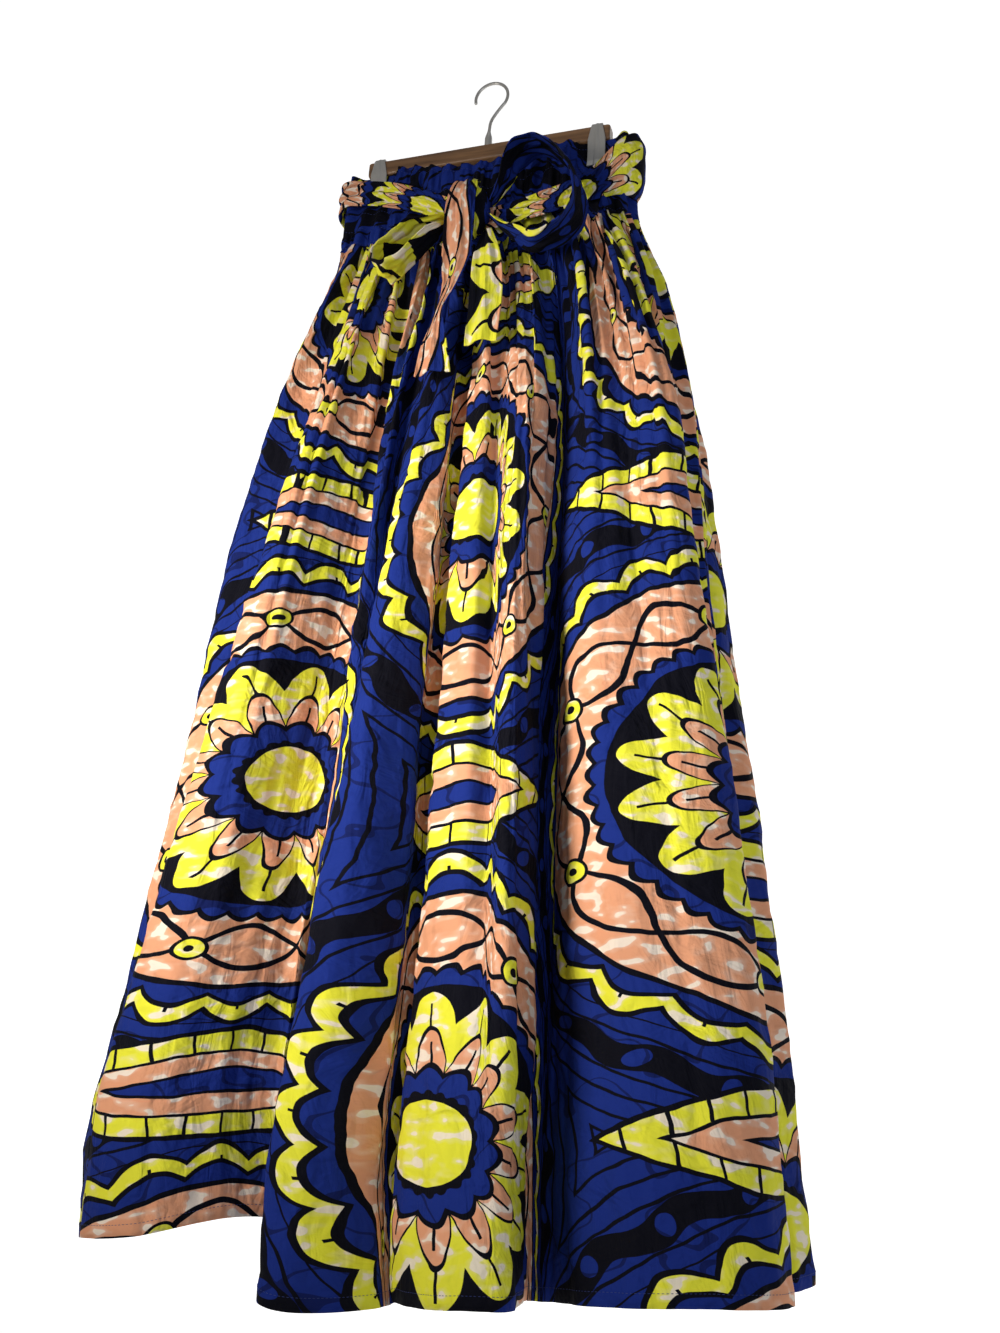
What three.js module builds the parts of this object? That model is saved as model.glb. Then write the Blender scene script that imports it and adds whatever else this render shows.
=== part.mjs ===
// Gathered maxi skirt with its sash tied in a bow, hung by two clips from a wooden bar hanger.
// Millimetres, +Z up, the skirt's front faces -Y, its own right side seen from the front is +X.
// The origin is the inside top of the hanger's hook, where the hanger rests on a rod.
import {
  BoxGeometry,
  CatmullRomCurve3,
  Color,
  ExtrudeGeometry,
  Group,
  MathUtils,
  Mesh,
  MeshStandardMaterial,
  Shape,
  SphereGeometry,
  Vector2,
  Vector3,
} from "three";

// Driving dimensions
const clothThick = 1.4;
const casingThick = 2.2;
const seamGap = 0.3;
const waistTopZ = -98;
const casingTall = 95;
const skirtLong = 1020;
const clipX = 118;
const clipWide = 18;
const clipPinch = 0.74;
const clipReach = 22;
const clipBite = 42;
const frontSag = 19;
const backSag = 12;
const sashLift = 5.2;
const barTopZ = -78;
const barTall = 18;
const barDeep = 15;
const barLong = 262;
const hookInside = 16;
const hookWire = 3.4;
const panelColumns = 72;
const panelRows = 13;
const rowCrowding = 1.3;
const casingRows = 4;

// Cross sections of the hanging cloth. drop is measured down from the waist corners. halfWide, endRound
// and bulge give the outline; large, medium and gather give the depth of the three sizes of fold there.
const sections = [
  { drop: 0, midX: 2, halfWide: 155, endRound: 15, bulge: 4, large: 0, medium: 0, gather: 2.6 },
  { drop: 50, midX: 2, halfWide: 155, endRound: 17, bulge: 4, large: 0, medium: 0, gather: 3 },
  { drop: 95, midX: 3, halfWide: 156, endRound: 21, bulge: 5, large: 0.03, medium: 1, gather: 3.6 },
  { drop: 170, midX: 9, halfWide: 175, endRound: 34, bulge: 7, large: 0.14, medium: 6, gather: 4 },
  { drop: 300, midX: 13, halfWide: 201, endRound: 52, bulge: 11, large: 0.38, medium: 10, gather: 2 },
  { drop: 470, midX: 13, halfWide: 220, endRound: 68, bulge: 15, large: 0.6, medium: 11, gather: 0.4 },
  { drop: 650, midX: 16, halfWide: 245, endRound: 82, bulge: 19, large: 0.78, medium: 9, gather: 0 },
  { drop: 830, midX: 17, halfWide: 271, endRound: 94, bulge: 23, large: 0.9, medium: 6, gather: 0 },
  { drop: 940, midX: 16, halfWide: 282, endRound: 100, bulge: 25, large: 0.96, medium: 5, gather: 0 },
  { drop: 1050, midX: 27, halfWide: 283, endRound: 106, bulge: 26, large: 1, medium: 4, gather: 0 },
];

// Large hanging folds of each panel, in order along it. A ridge stands out by rise and the valley after it
// goes in by sink at the hem; each is placed by its share of the panel's width at the waist and at the hem,
// and rightward moves it sideways there, so that a ridge can overhang the valley beside it.
const frontFolds = [
  { ridgeTop: 0.17, ridgeHem: 0.2, rise: 34, rightward: 0, valleyTop: 0.31, valleyHem: 0.365, sink: 52 },
  { ridgeTop: 0.39, ridgeHem: 0.43, rise: 32, rightward: -12, valleyTop: 0.47, valleyHem: 0.495, sink: 20 },
  { ridgeTop: 0.6, ridgeHem: 0.6, rise: 42, rightward: 30, valleyTop: 0.73, valleyHem: 0.7, sink: 44 },
  { ridgeTop: 0.86, ridgeHem: 0.86, rise: 24, rightward: 0, valleyTop: 1, valleyHem: 1, sink: 14 },
];
const backFolds = [
  { ridgeTop: 0.11, ridgeHem: 0.12, rise: 26, rightward: 0, valleyTop: 0.24, valleyHem: 0.25, sink: 34 },
  { ridgeTop: 0.35, ridgeHem: 0.37, rise: 38, rightward: 14, valleyTop: 0.47, valleyHem: 0.49, sink: 46 },
  { ridgeTop: 0.59, ridgeHem: 0.6, rise: 34, rightward: -10, valleyTop: 0.7, valleyHem: 0.69, sink: 38 },
  { ridgeTop: 0.83, ridgeHem: 0.82, rise: 40, rightward: 0, valleyTop: 1, valleyHem: 1, sink: 20 },
];
const mediumFoldCount = 9;
const gatherCount = 18;
const largePinch = 0.42;
const mediumPinch = 0.28;

// How far the hem hangs below (or, where negative, above) its mean level along each panel.
const frontHem = [
  { at: 0, low: 18 },
  { at: 0.12, low: 15 },
  { at: 0.2, low: 1 },
  { at: 0.29, low: -24 },
  { at: 0.365, low: -22 },
  { at: 0.42, low: 8 },
  { at: 0.5, low: 9 },
  { at: 0.6, low: -5 },
  { at: 0.71, low: 11 },
  { at: 0.85, low: 1 },
  { at: 1, low: 13 },
];
const backHem = [
  { at: 0, low: 13 },
  { at: 0.2, low: 2 },
  { at: 0.5, low: 6 },
  { at: 0.75, low: -4 },
  { at: 1, low: 18 },
];

// The sash from the knot round the right corner, the back and the left corner to the knot again.
// turn counts panels passed from the front's left seam; drop is the sash's middle below the waist corners.
const sashRun = [
  { turn: 0.54, drop: 90, half: 14 },
  { turn: 0.7, drop: 80, half: 15 },
  { turn: 0.83, drop: 62, half: 19 },
  { turn: 0.93, drop: 42, half: 33 },
  { turn: 1.0, drop: 33, half: 38 },
  { turn: 1.1, drop: 34, half: 32 },
  { turn: 1.5, drop: 44, half: 25 },
  { turn: 1.9, drop: 32, half: 21 },
  { turn: 2.0, drop: 27, half: 17 },
  { turn: 2.1, drop: 27, half: 15 },
  { turn: 2.28, drop: 46, half: 15 },
  { turn: 2.46, drop: 78, half: 14 },
];
const sashFoldHeight = 2.4;

// Bow. x and drop place the middle of the strip, off is its distance in front of the skirt's outline,
// wide is its width there and lean turns it about its own length, in degrees.
const knot = { x: 2, drop: 90, off: 19.5, halfX: 24, halfY: 15.5, halfZ: 31 };
const rightLoop = [
  { x: 24.6, drop: 82, off: 19.5, wide: 11 },
  { x: 36, drop: 60, off: 23, wide: 28 },
  { x: 48, drop: 33, off: 25, wide: 38 },
  { x: 68, drop: 24, off: 26, wide: 42 },
  { x: 92, drop: 38, off: 26, wide: 42 },
  { x: 111, drop: 70, off: 26, wide: 42 },
  { x: 119, drop: 106, off: 27, wide: 42 },
  { x: 109, drop: 140, off: 27, wide: 42 },
  { x: 84, drop: 152, off: 27, wide: 40 },
  { x: 55, drop: 132, off: 24, wide: 32 },
  { x: 24.8, drop: 99, off: 19.5, wide: 11 },
];
const leftLoop = [
  { x: -19.8, drop: 102, off: 19.5, wide: 11 },
  { x: -30, drop: 118, off: 23, wide: 26 },
  { x: -54, drop: 156, off: 26, wide: 36 },
  { x: -68, drop: 165, off: 27, wide: 40 },
  { x: -77, drop: 153, off: 27, wide: 40 },
  { x: -74, drop: 136, off: 27, wide: 40 },
  { x: -60, drop: 117, off: 26, wide: 38 },
  { x: -42, drop: 101, off: 23, wide: 30 },
  { x: -21.6, drop: 91, off: 19.5, wide: 11 },
];
const leftTail = [
  { x: 3, drop: 55, off: 24, wide: 18, lean: 0 },
  { x: 3, drop: 62, off: 35.5, wide: 22, lean: 1 },
  { x: 3, drop: 75, off: 41.5, wide: 25, lean: 3 },
  { x: 2, drop: 92, off: 41.5, wide: 27, lean: 5 },
  { x: 1, drop: 114, off: 32, wide: 28, lean: 6 },
  { x: 0, drop: 150, off: 20, wide: 26, lean: 4 },
  { x: -3, drop: 185, off: 15, wide: 19, lean: -24 },
  { x: -9, drop: 215, off: 14, wide: 19, lean: -42 },
  { x: -8, drop: 250, off: 14, wide: 28, lean: -16 },
  { x: -3, drop: 288, off: 14, wide: 34, lean: 6 },
];
const rightTail = [
  { x: 23, drop: 114, off: 15, wide: 13, lean: -30 },
  { x: 29, drop: 145, off: 16, wide: 26, lean: -8 },
  { x: 34, drop: 185, off: 15, wide: 30, lean: 3 },
  { x: 37, drop: 220, off: 14, wide: 30, lean: 7 },
  { x: 39, drop: 258, off: 14, wide: 30, lean: 4 },
];

const mix = MathUtils.lerp;

// A named column of a table at a place along it, with a smooth curve through the rows.
function fromTable(rows, key, column, place) {
  const last = rows.length - 1;
  const where = MathUtils.clamp(place, rows[0][key], rows[last][key]);
  let low = 0;
  while (low < last - 1 && rows[low + 1][key] < where) low += 1;
  const slopeAt = (i) => {
    const before = rows[Math.max(i - 1, 0)];
    const after = rows[Math.min(i + 1, last)];
    return (after[column] - before[column]) / (after[key] - before[key]);
  };
  const span = rows[low + 1][key] - rows[low][key];
  const f = (where - rows[low][key]) / span;
  const start = rows[low][column];
  const end = rows[low + 1][column];
  const startPart = (1 + 2 * f) * (1 - f) ** 2 * start + f * (1 - f) ** 2 * span * slopeAt(low);
  const endPart = f * f * (3 - 2 * f) * end + f * f * (f - 1) * span * slopeAt(low + 1);
  return startPart + endPart;
}

// A point of the plain outline of half the skirt, from one side seam (0) to the other (1), and its outward
// direction. front is 1 for the half that faces -Y and -1 for the back, which runs the other way.
function outline(front, along, halfWide, endRound, bulge) {
  const corner = (Math.PI / 2) * endRound;
  const straight = 2 * (halfWide - endRound);
  const run = along * (2 * corner + straight);
  const point = new Vector2();
  const out = new Vector2(0, -1);
  if (run < corner) {
    const angle = Math.PI + run / endRound;
    out.set(Math.cos(angle), Math.sin(angle));
    point.set(-halfWide + endRound, 0).addScaledVector(out, endRound);
  } else if (run > corner + straight) {
    const angle = 1.5 * Math.PI + (run - corner - straight) / endRound;
    out.set(Math.cos(angle), Math.sin(angle));
    point.set(halfWide - endRound, 0).addScaledVector(out, endRound);
  } else {
    point.set(-halfWide + endRound + run - corner, -endRound);
  }
  const clamped = MathUtils.clamp(along, 0, 1);
  point.addScaledVector(out, bulge * Math.sin(Math.PI * clamped) ** 2);
  return { point: point.multiplyScalar(front), out: out.multiplyScalar(front) };
}

// The large fold at a share of the panel's width: how far it stands out, how far it moves the cloth along
// so that ridges are broad and valleys narrow, and how far it leans to the side.
function largeFold(folds, firstSink, along, down) {
  const stops = [{ at: 0, out: -firstSink, side: 0 }];
  for (const fold of folds) {
    stops.push({ at: mix(fold.ridgeTop, fold.ridgeHem, down), out: fold.rise, side: fold.rightward });
    stops.push({ at: mix(fold.valleyTop, fold.valleyHem, down), out: -fold.sink, side: -fold.rightward });
  }
  let i = 0;
  while (i < stops.length - 2 && stops[i + 1].at < along) i += 1;
  const span = stops[i + 1].at - stops[i].at;
  const f = MathUtils.clamp((along - stops[i].at) / span, 0, 1);
  const falling = i % 2 === 1 ? 1 : -1;
  const eased = 0.5 - 0.5 * Math.cos(Math.PI * f);
  return {
    out: mix(stops[i].out, stops[i + 1].out, eased),
    shift: (falling * span * Math.sin(Math.PI * f)) / Math.PI,
    side: mix(stops[i].side, stops[i + 1].side, eased),
  };
}

// The waist edge hangs lower between the clips.
function sagAt(front, along) {
  const fromMiddle = Math.min(1, Math.abs(2 * along - 1) / 0.76);
  return (front > 0 ? frontSag : backSag) * Math.cos((Math.PI / 2) * fromMiddle) ** 2;
}

// The outer face of the hanging cloth, at a share of the panel's width and a drop below the waist corners.
function clothPoint(front, along, drop) {
  const value = (column) => fromTable(sections, "drop", column, drop);
  const down = MathUtils.clamp((drop - casingTall) / (skirtLong - casingTall), 0, 1);
  const [folds, otherFolds] = front > 0 ? [frontFolds, backFolds] : [backFolds, frontFolds];
  const fold = largeFold(folds, otherFolds[otherFolds.length - 1].sink, along, down);
  const uneven = 1 + 0.35 * Math.sin(6 * Math.PI * along);
  const mediumTurn = 2 * Math.PI * mediumFoldCount * (along + 0.012 * Math.sin(4 * Math.PI * along));
  const mediumShift = (mediumPinch * value("medium") * Math.sin(mediumTurn)) / (10 * 2 * Math.PI * mediumFoldCount);
  const shift = largePinch * value("large") * fold.shift + mediumShift;
  const base = outline(front, along + shift, value("halfWide"), value("endRound"), value("bulge"));
  const stand =
    value("large") * fold.out +
    value("medium") * uneven * Math.cos(mediumTurn) +
    value("gather") * Math.cos(2 * Math.PI * gatherCount * along);
  base.point.addScaledVector(base.out, stand);
  base.point.addScaledVector(new Vector2(-base.out.y, base.out.x), value("large") * fold.side);
  const fromClip = (Math.abs(base.point.x + value("midX")) - clipX) / clipReach;
  const pinched = (clipPinch * Math.exp(-(fromClip ** 4))) / (1 + (drop / clipBite) ** 6);
  const hem = fromTable(front > 0 ? frontHem : backHem, "at", "low", along) * down * down;
  return new Vector3(
    base.point.x + value("midX"),
    base.point.y * (1 - pinched),
    waistTopZ - drop - sagAt(front, along) - hem,
  );
}

// A wall of cloth made from a flat sheet: place gives the outer face at u (left to right, seen from
// outside) and v (top to bottom), and the inner face lies thick behind it, square to the surface.
function clothWall(columns, rows, thick, place) {
  const sheet = new BoxGeometry(1, 1, 1, columns, rows, 1);
  const points = sheet.getAttribute("position");
  const step = 0.002;
  for (let i = 0; i < points.count; i += 1) {
    const u = points.getX(i) + 0.5;
    const v = 0.5 - points.getY(i);
    const point = place(u, v);
    if (points.getZ(i) < 0) {
      const across = place(u + step, v).sub(place(u - step, v));
      const up = place(u, v - step).sub(place(u, v + step));
      point.addScaledVector(across.cross(up).normalize(), -thick);
    }
    points.setXYZ(i, point.x, point.y, point.z);
  }
  matchDiagonals(sheet);
  return sheet;
}

// Splits each square of the inner face along the same diagonal as the square in front of it.
function matchDiagonals(sheet) {
  const { start, count } = sheet.groups[5];
  const corners = sheet.index;
  for (let i = start; i < start + count; i += 6) {
    const opposite = corners.getX(i + 4);
    corners.setX(i + 2, opposite);
    corners.setX(i + 3, corners.getX(i));
  }
}

// One panel of the hanging cloth between two drops, short of its side seams by half a gap. Its rows are
// crowded towards the top, where the gathers are.
function panelWall(front, topDrop, bottomDrop, rows, crowding, thick) {
  return clothWall(panelColumns, rows, thick, (u, v) => {
    const drop = mix(topDrop, bottomDrop, Math.max(0, v) ** crowding);
    const wide = fromTable(sections, "drop", "halfWide", drop);
    const inset = seamGap / 2 / (2 * wide);
    return clothPoint(front, mix(inset, 1 - inset, u), drop);
  });
}

// The skirt's plain outline moved out by lift, at a count of panels passed from the front's left seam.
function aroundPoint(turn, drop, lift) {
  const panel = Math.floor(turn);
  const front = panel % 2 === 0 ? 1 : -1;
  const along = turn - panel;
  const value = (column) => fromTable(sections, "drop", column, drop);
  const base = outline(front, along, value("halfWide") + lift, value("endRound") + lift, value("bulge"));
  return new Vector3(base.point.x + value("midX"), base.point.y, waistTopZ - drop);
}

function sashWall() {
  const first = sashRun[0].turn;
  const last = sashRun[sashRun.length - 1].turn;
  return clothWall(84, 5, clothThick, (u, v) => {
    const turn = mix(first, last, u);
    const half = fromTable(sashRun, "turn", "half", turn);
    const drop = fromTable(sashRun, "turn", "drop", turn) + half * (2 * v - 1);
    const pleat = 0.5 - 0.5 * Math.cos(2 * Math.PI * (2.4 * v + 0.5 * Math.sin(3 * turn)));
    return aroundPoint(turn, drop, sashLift + sashFoldHeight * pleat);
  });
}

// Front of the skirt's plain outline at a drop, as a Y value.
function frontFace(drop) {
  const value = (column) => fromTable(sections, "drop", column, drop);
  return -(value("endRound") + value("bulge") + 0.35 * value("large") * 40 + value("medium"));
}

// A strip whose middle runs through table rows in front of the skirt.
function stripPlace(rows, u) {
  const middle = new CatmullRomCurve3(
    rows.map((row) => new Vector3(row.x, frontFace(row.drop) - row.off, waistTopZ - row.drop)),
    false,
    "centripetal",
  );
  const place = u * (rows.length - 1);
  const numbered = rows.map((row, i) => ({ i, wide: row.wide, lean: row.lean ?? 0 }));
  return {
    middle: middle.getPoint(MathUtils.clamp(u, 0, 1)),
    wide: fromTable(numbered, "i", "wide", place),
    lean: MathUtils.degToRad(fromTable(numbered, "i", "lean", place)),
  };
}

// A loop of the bow: the strip's width runs front to back, gathered towards the knot.
function loopWall(rows) {
  return clothWall(30, 4, clothThick, (u, v) => {
    const { middle, wide } = stripPlace(rows, u);
    const crumple = 0.9 * Math.sin(7 * Math.PI * u) * Math.sin(2 * Math.PI * v);
    return new Vector3(middle.x, middle.y + wide * (0.5 - v), middle.z + crumple);
  });
}

// A hanging tail of the bow: the strip faces forwards and hangs in soft lengthwise folds.
function tailWall(rows) {
  return clothWall(6, 18, clothThick, (u, v) => {
    const { middle, wide, lean } = stripPlace(rows, v);
    const fold = (2.2 * Math.cos(3 * Math.PI * u + 2 * v) * wide) / 30;
    const side = wide * (u - 0.5);
    const edgeDrop = -2 * Math.cos(5 * u) * v;
    return new Vector3(
      middle.x + side * Math.cos(lean),
      middle.y + side * Math.sin(lean) - fold,
      middle.z + edgeDrop,
    );
  });
}

function knotLump() {
  const lump = new SphereGeometry(1, 22, 16);
  const points = lump.getAttribute("position");
  for (let i = 0; i < points.count; i += 1) {
    const x = points.getX(i);
    const y = points.getY(i);
    const z = points.getZ(i);
    const groove = 1 - 0.07 * Math.cos(9 * x + 2.5 * y) ** 2 * (1 - y * y);
    points.setXYZ(i, x * groove, z * groove, y);
  }
  lump.scale(knot.halfX, -knot.halfY, knot.halfZ);
  return lump.translate(knot.x, frontFace(knot.drop) - knot.off, waistTopZ - knot.drop);
}

// A closed outline in Y and Z, drawn out along X about its middle.
function alongX(corners, long, middleX) {
  const solid = new ExtrudeGeometry(new Shape(corners.map(([y, z]) => new Vector2(y, z))), {
    depth: long,
    bevelEnabled: false,
  });
  const points = solid.getAttribute("position");
  for (let i = 0; i < points.count; i += 1) {
    const y = points.getX(i);
    const z = points.getY(i);
    points.setXYZ(i, points.getZ(i) - long / 2 + middleX, y, z);
  }
  return solid;
}

function hangerBar() {
  const half = barDeep / 2;
  const top = barTopZ;
  const foot = barTopZ - barTall;
  const soft = 2.5;
  const corners = [
    [-half, foot + soft],
    [-half + soft, foot],
    [half - soft, foot],
    [half, foot + soft],
    [half, top - soft],
    [half - soft, top],
    [-half + soft, top],
    [-half, top - soft],
  ];
  return alongX(corners, barLong, 0);
}

// A spring clip bent from one strip: over the bar, in below it, and down to flared jaws on the cloth.
function springClip(middleX) {
  const plate = 1.2;
  const outer = [
    [-2, barTopZ + 2.6],
    [-7, barTopZ + 1.6],
    [-9, barTopZ - 2],
    [-9, barTopZ - barTall + 1],
    [-7.1, waistTopZ - 9],
    [-7.1, waistTopZ - 21],
    [-9, waistTopZ - 28],
  ];
  const inner = outer.map(([y, z], i) => [y + (i < 2 ? 0.6 : plate), z - (i < 2 ? plate : 0.2)]);
  const mirror = (rows) => rows.map(([y, z]) => [-y, z]);
  const corners = [...outer].reverse().concat(mirror(outer), mirror(inner).reverse(), inner);
  return alongX(corners, clipWide, middleX);
}

function hangerHook() {
  const bend = hookInside + hookWire / 2;
  const path = [new Vector3(0, 0, barTopZ + 0.3), new Vector3(0, 0, -56), new Vector3(1.6, 0, -45)];
  for (let degrees = -48; degrees <= 196; degrees += 16) {
    const angle = MathUtils.degToRad(degrees);
    path.push(new Vector3(bend * Math.cos(angle), 0, -hookInside + bend * Math.sin(angle)));
  }
  const wire = new Shape();
  wire.absarc(0, 0, hookWire / 2, 0, 2 * Math.PI);
  return new ExtrudeGeometry(wire, {
    steps: 40,
    curveSegments: 4,
    bevelEnabled: false,
    extrudePath: new CatmullRomCurve3(path),
  });
}

const skirt = new Group();

function add(name, geometry, colour, roughness, metalness) {
  const material = new MeshStandardMaterial({ color: new Color(colour), roughness, metalness });
  const mesh = new Mesh(geometry, material);
  mesh.name = name;
  skirt.add(mesh);
}

const seamDrop = casingTall + seamGap / 2;
const casingEnd = casingTall - seamGap / 2;
const cobalt = "#1c3f9e";
const lemon = "#d8dc3c";
const peach = "#f0a070";

add("skirt_front", panelWall(1, seamDrop, skirtLong, panelRows, rowCrowding, clothThick), cobalt, 0.85, 0);
add("skirt_back", panelWall(-1, seamDrop, skirtLong, panelRows, rowCrowding, clothThick), cobalt, 0.85, 0);
add("waistband_front", panelWall(1, 0, casingEnd, casingRows, 1, casingThick), cobalt, 0.85, 0);
add("waistband_back", panelWall(-1, 0, casingEnd, casingRows, 1, casingThick), cobalt, 0.85, 0);
add("sash", sashWall(), lemon, 0.85, 0);
add("bow_knot", knotLump(), peach, 0.85, 0);
add("bow_loop_left", loopWall(leftLoop), lemon, 0.85, 0);
add("bow_loop_right", loopWall(rightLoop), cobalt, 0.85, 0);
add("bow_tail_left", tailWall(leftTail), peach, 0.85, 0);
add("bow_tail_right", tailWall(rightTail), lemon, 0.85, 0);
add("hanger_bar", hangerBar(), "#7a4a28", 0.5, 0);
add("hanger_hook", hangerHook(), "#c8ccd0", 0.25, 1);
add("clip_left", springClip(-clipX), "#c8ccd0", 0.25, 1);
add("clip_right", springClip(clipX), "#c8ccd0", 0.25, 1);

export default skirt;
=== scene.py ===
import math
from functools import partial

import bpy
import numpy as np
from mathutils import Matrix, Vector


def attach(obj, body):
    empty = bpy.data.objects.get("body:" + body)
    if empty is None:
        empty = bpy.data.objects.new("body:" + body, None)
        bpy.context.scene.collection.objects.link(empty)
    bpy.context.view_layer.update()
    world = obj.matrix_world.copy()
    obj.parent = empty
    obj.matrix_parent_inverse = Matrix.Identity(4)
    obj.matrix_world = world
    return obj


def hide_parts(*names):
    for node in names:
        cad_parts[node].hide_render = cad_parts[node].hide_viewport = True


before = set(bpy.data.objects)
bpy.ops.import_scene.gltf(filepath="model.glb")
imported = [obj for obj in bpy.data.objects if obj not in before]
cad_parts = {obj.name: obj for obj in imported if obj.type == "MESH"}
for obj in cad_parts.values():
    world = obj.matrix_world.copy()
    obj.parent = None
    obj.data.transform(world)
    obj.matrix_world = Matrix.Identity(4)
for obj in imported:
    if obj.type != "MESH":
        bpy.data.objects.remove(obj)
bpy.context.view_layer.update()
millimetre = 0.001


# Small helpers


# Rows under named columns, as one array a column
def table(names, *rows):
    return {name: np.array(column, float) for name, column in zip(names.split(), zip(*rows))}


def mix(a, b, f):
    return a + (b - a) * f


# Eases from 0 at low to 1 at high
def smooth(low, high, x):
    f = np.clip((x - low) / (high - low), 0, 1)
    return f * f * (3 - 2 * f)


# 1 where x is 0, fading to either side over a width
def hump(x, width):
    return np.exp(-((x / width) ** 2))


# Waves from -1 to 1: wave starts at 0 and crest at 1
def wave(turns):
    return np.sin(2 * math.pi * turns)


def crest(turns):
    return np.cos(2 * math.pi * turns)


# An sRGB hex colour as linear RGBA
def linear(hexColour):
    parts = [int(hexColour[i : i + 2], 16) / 255 for i in (1, 3, 5)]
    return [c / 12.92 if c <= 0.04045 else ((c + 0.055) / 1.055) ** 2.4 for c in parts] + [1.0]


# Links a node or socket to a socket, or gives it a plain value
def feed(tree, socket, value):
    if isinstance(value, bpy.types.Node):
        value = next(output for output in value.outputs if output.enabled)
    if isinstance(value, bpy.types.NodeSocket):
        tree.links.new(value, socket)
    else:
        socket.default_value = value


# Adds a node. Its operation or data type may follow its kind after a dot. Values fill its
# enabled inputs in order, and inputs are named by socket, with _ for a space; each is a
# value, a node or a socket
def addNode(tree, kind, *values, settings=(), **inputs):
    kind, _, operation = kind.partition(".")
    node = tree.nodes.new(kind if "Node" in kind else "ShaderNode" + kind)
    if operation:
        setattr(node, "operation" if hasattr(node, "operation") else "data_type", operation)
    for name, value in dict(settings).items():
        setattr(node, name, value)
    for socket, value in zip([socket for socket in node.inputs if socket.enabled], values):
        feed(tree, socket, value)
    for name, value in inputs.items():
        feed(tree, node.inputs[name.replace("_", " ")], value)
    return node


# Puts a new object with this data in the scene
def newObject(name, data):
    item = bpy.data.objects.new(name, data)
    bpy.context.scene.collection.objects.link(item)
    return item


# A smooth-shaded piece of points in metres, with a place on the print for each point
def meshPiece(name, points, faces, material, uv=None):
    mesh = bpy.data.meshes.new(name)
    mesh.from_pydata(np.asarray(points).tolist(), [], faces)
    if uv is not None:
        corners = np.zeros(len(mesh.loops), np.int32)
        mesh.loops.foreach_get("vertex_index", corners)
        mesh.uv_layers.new(name="UVMap").data.foreach_set("uv", uv[corners].ravel())
    mesh.polygons.foreach_set("use_smooth", np.ones(len(faces), bool))
    mesh.materials.append(material)
    mesh.update()
    return newObject(name, mesh)


# Sizes of the cloth, in millimetres; pinches and counts are plain numbers

skirtSize = {
    "long": 1020,
    "casingTall": 95,
    "waistTopZ": -98,
    "clothThick": 0.8,
    "casingThick": 2.0,
    "seamGap": 0.3,
    "frontSag": 19,
    "backSag": 12,
    "sagSpan": 0.76,
    "clipX": 118,
    "clipPinch": 0.74,
    "clipReach": 22,
    "clipBite": 42,
    "largePinch": 0.42,
    "mediumPinch": 0.28,
    "mediumFolds": 9,
    "broadGathers": 18,
    "cutWide": 1120,
    "waistWide": 310,
}

sections = table(
    "drop midX halfWide endRound bulge large medium gather",
    (0, 2, 155, 15, 4, 0, 0, 2.6),
    (50, 2, 155, 17, 4, 0, 0, 3),
    (95, 3, 156, 21, 5, 0.03, 1, 3.6),
    (170, 9, 175, 34, 7, 0.14, 6, 4),
    (300, 13, 201, 52, 11, 0.38, 10, 2),
    (470, 13, 220, 68, 15, 0.6, 11, 0.4),
    (650, 16, 245, 82, 19, 0.78, 9, 0),
    (830, 17, 271, 94, 23, 0.9, 6, 0),
    (940, 16, 282, 100, 25, 0.96, 5, 0),
    (1050, 27, 283, 106, 26, 1, 4, 0),
)

foldNames = "ridgeTop ridgeHem rise rightward valleyTop valleyHem sink"
frontFolds = table(
    foldNames,
    (0.17, 0.2, 34, 0, 0.31, 0.365, 52),
    (0.39, 0.43, 32, -12, 0.47, 0.495, 20),
    (0.6, 0.6, 42, 30, 0.73, 0.7, 44),
    (0.86, 0.86, 24, 0, 1, 1, 14),
)
backFolds = table(
    foldNames,
    (0.11, 0.12, 26, 0, 0.24, 0.25, 34),
    (0.35, 0.37, 38, 14, 0.47, 0.49, 46),
    (0.59, 0.6, 34, -10, 0.7, 0.69, 38),
    (0.83, 0.82, 40, 0, 1, 1, 20),
)

# How far the hem hangs below its plain height, by share of the panel
frontHem = table(
    "at low",
    (0, 18), (0.12, 15), (0.2, 1), (0.29, -24), (0.365, -22), (0.42, 8), (0.5, 9), (0.6, -5),
    (0.71, 11), (0.85, 1), (1, 13),
)
backHem = table(
    "at low",
    (0, 13), (0.2, 2), (0.5, 6), (0.75, -4), (1, 18),
)

# Where on the printed cloth each panel is cut, in mm, and how much finer the print is than
# its table of sizes
printPlace = {"front": (0, 0), "back": (1050, -190), "fine": 1.3}

# Gathers below the casing: depth and the shortest and longest fade in mm, and how much of
# the print their valleys hide
gatherSizes = {
    "count": 47, "depth": 2.1, "shortest": 30, "longest": 130,
    "seed": 11, "packed": 0.7,
}
middleGathers = {
    "count": 21, "depth": 2.9, "shortest": 90, "longest": 420,
    "seed": 31, "packed": 0.75,
}
shirring = {"rows": (6, 28, 50, 72, 91), "puff": 1.5, "gather": 1.7, "rise": 7}

# Where folds hide part of the print: place at the top and the hem (share of the panel), from
# what drop to what drop, how much is hidden and over what half width
hiddenNames = "top hem fromDrop toDrop hidden half"
frontHidden = table(
    hiddenNames,
    (0.31, 0.365, 230, 1400, 0.085, 0.016),
    (0.395, 0.41, 330, 900, 0.04, 0.009),
    (0.47, 0.495, 230, 1400, 0.09, 0.015),
    (0.578, 0.6, 260, 860, 0.05, 0.009),
    (0.73, 0.7, 230, 1400, 0.09, 0.014),
    (0.165, 0.15, 280, 900, 0.04, 0.01),
)
backHidden = table(
    hiddenNames,
    (0.24, 0.25, 230, 1400, 0.08, 0.018),
    (0.47, 0.49, 230, 1400, 0.085, 0.016),
    (0.7, 0.69, 230, 1400, 0.08, 0.018),
    (0.36, 0.38, 300, 800, 0.04, 0.01),
    (0.6, 0.61, 340, 860, 0.04, 0.01),
)

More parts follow.
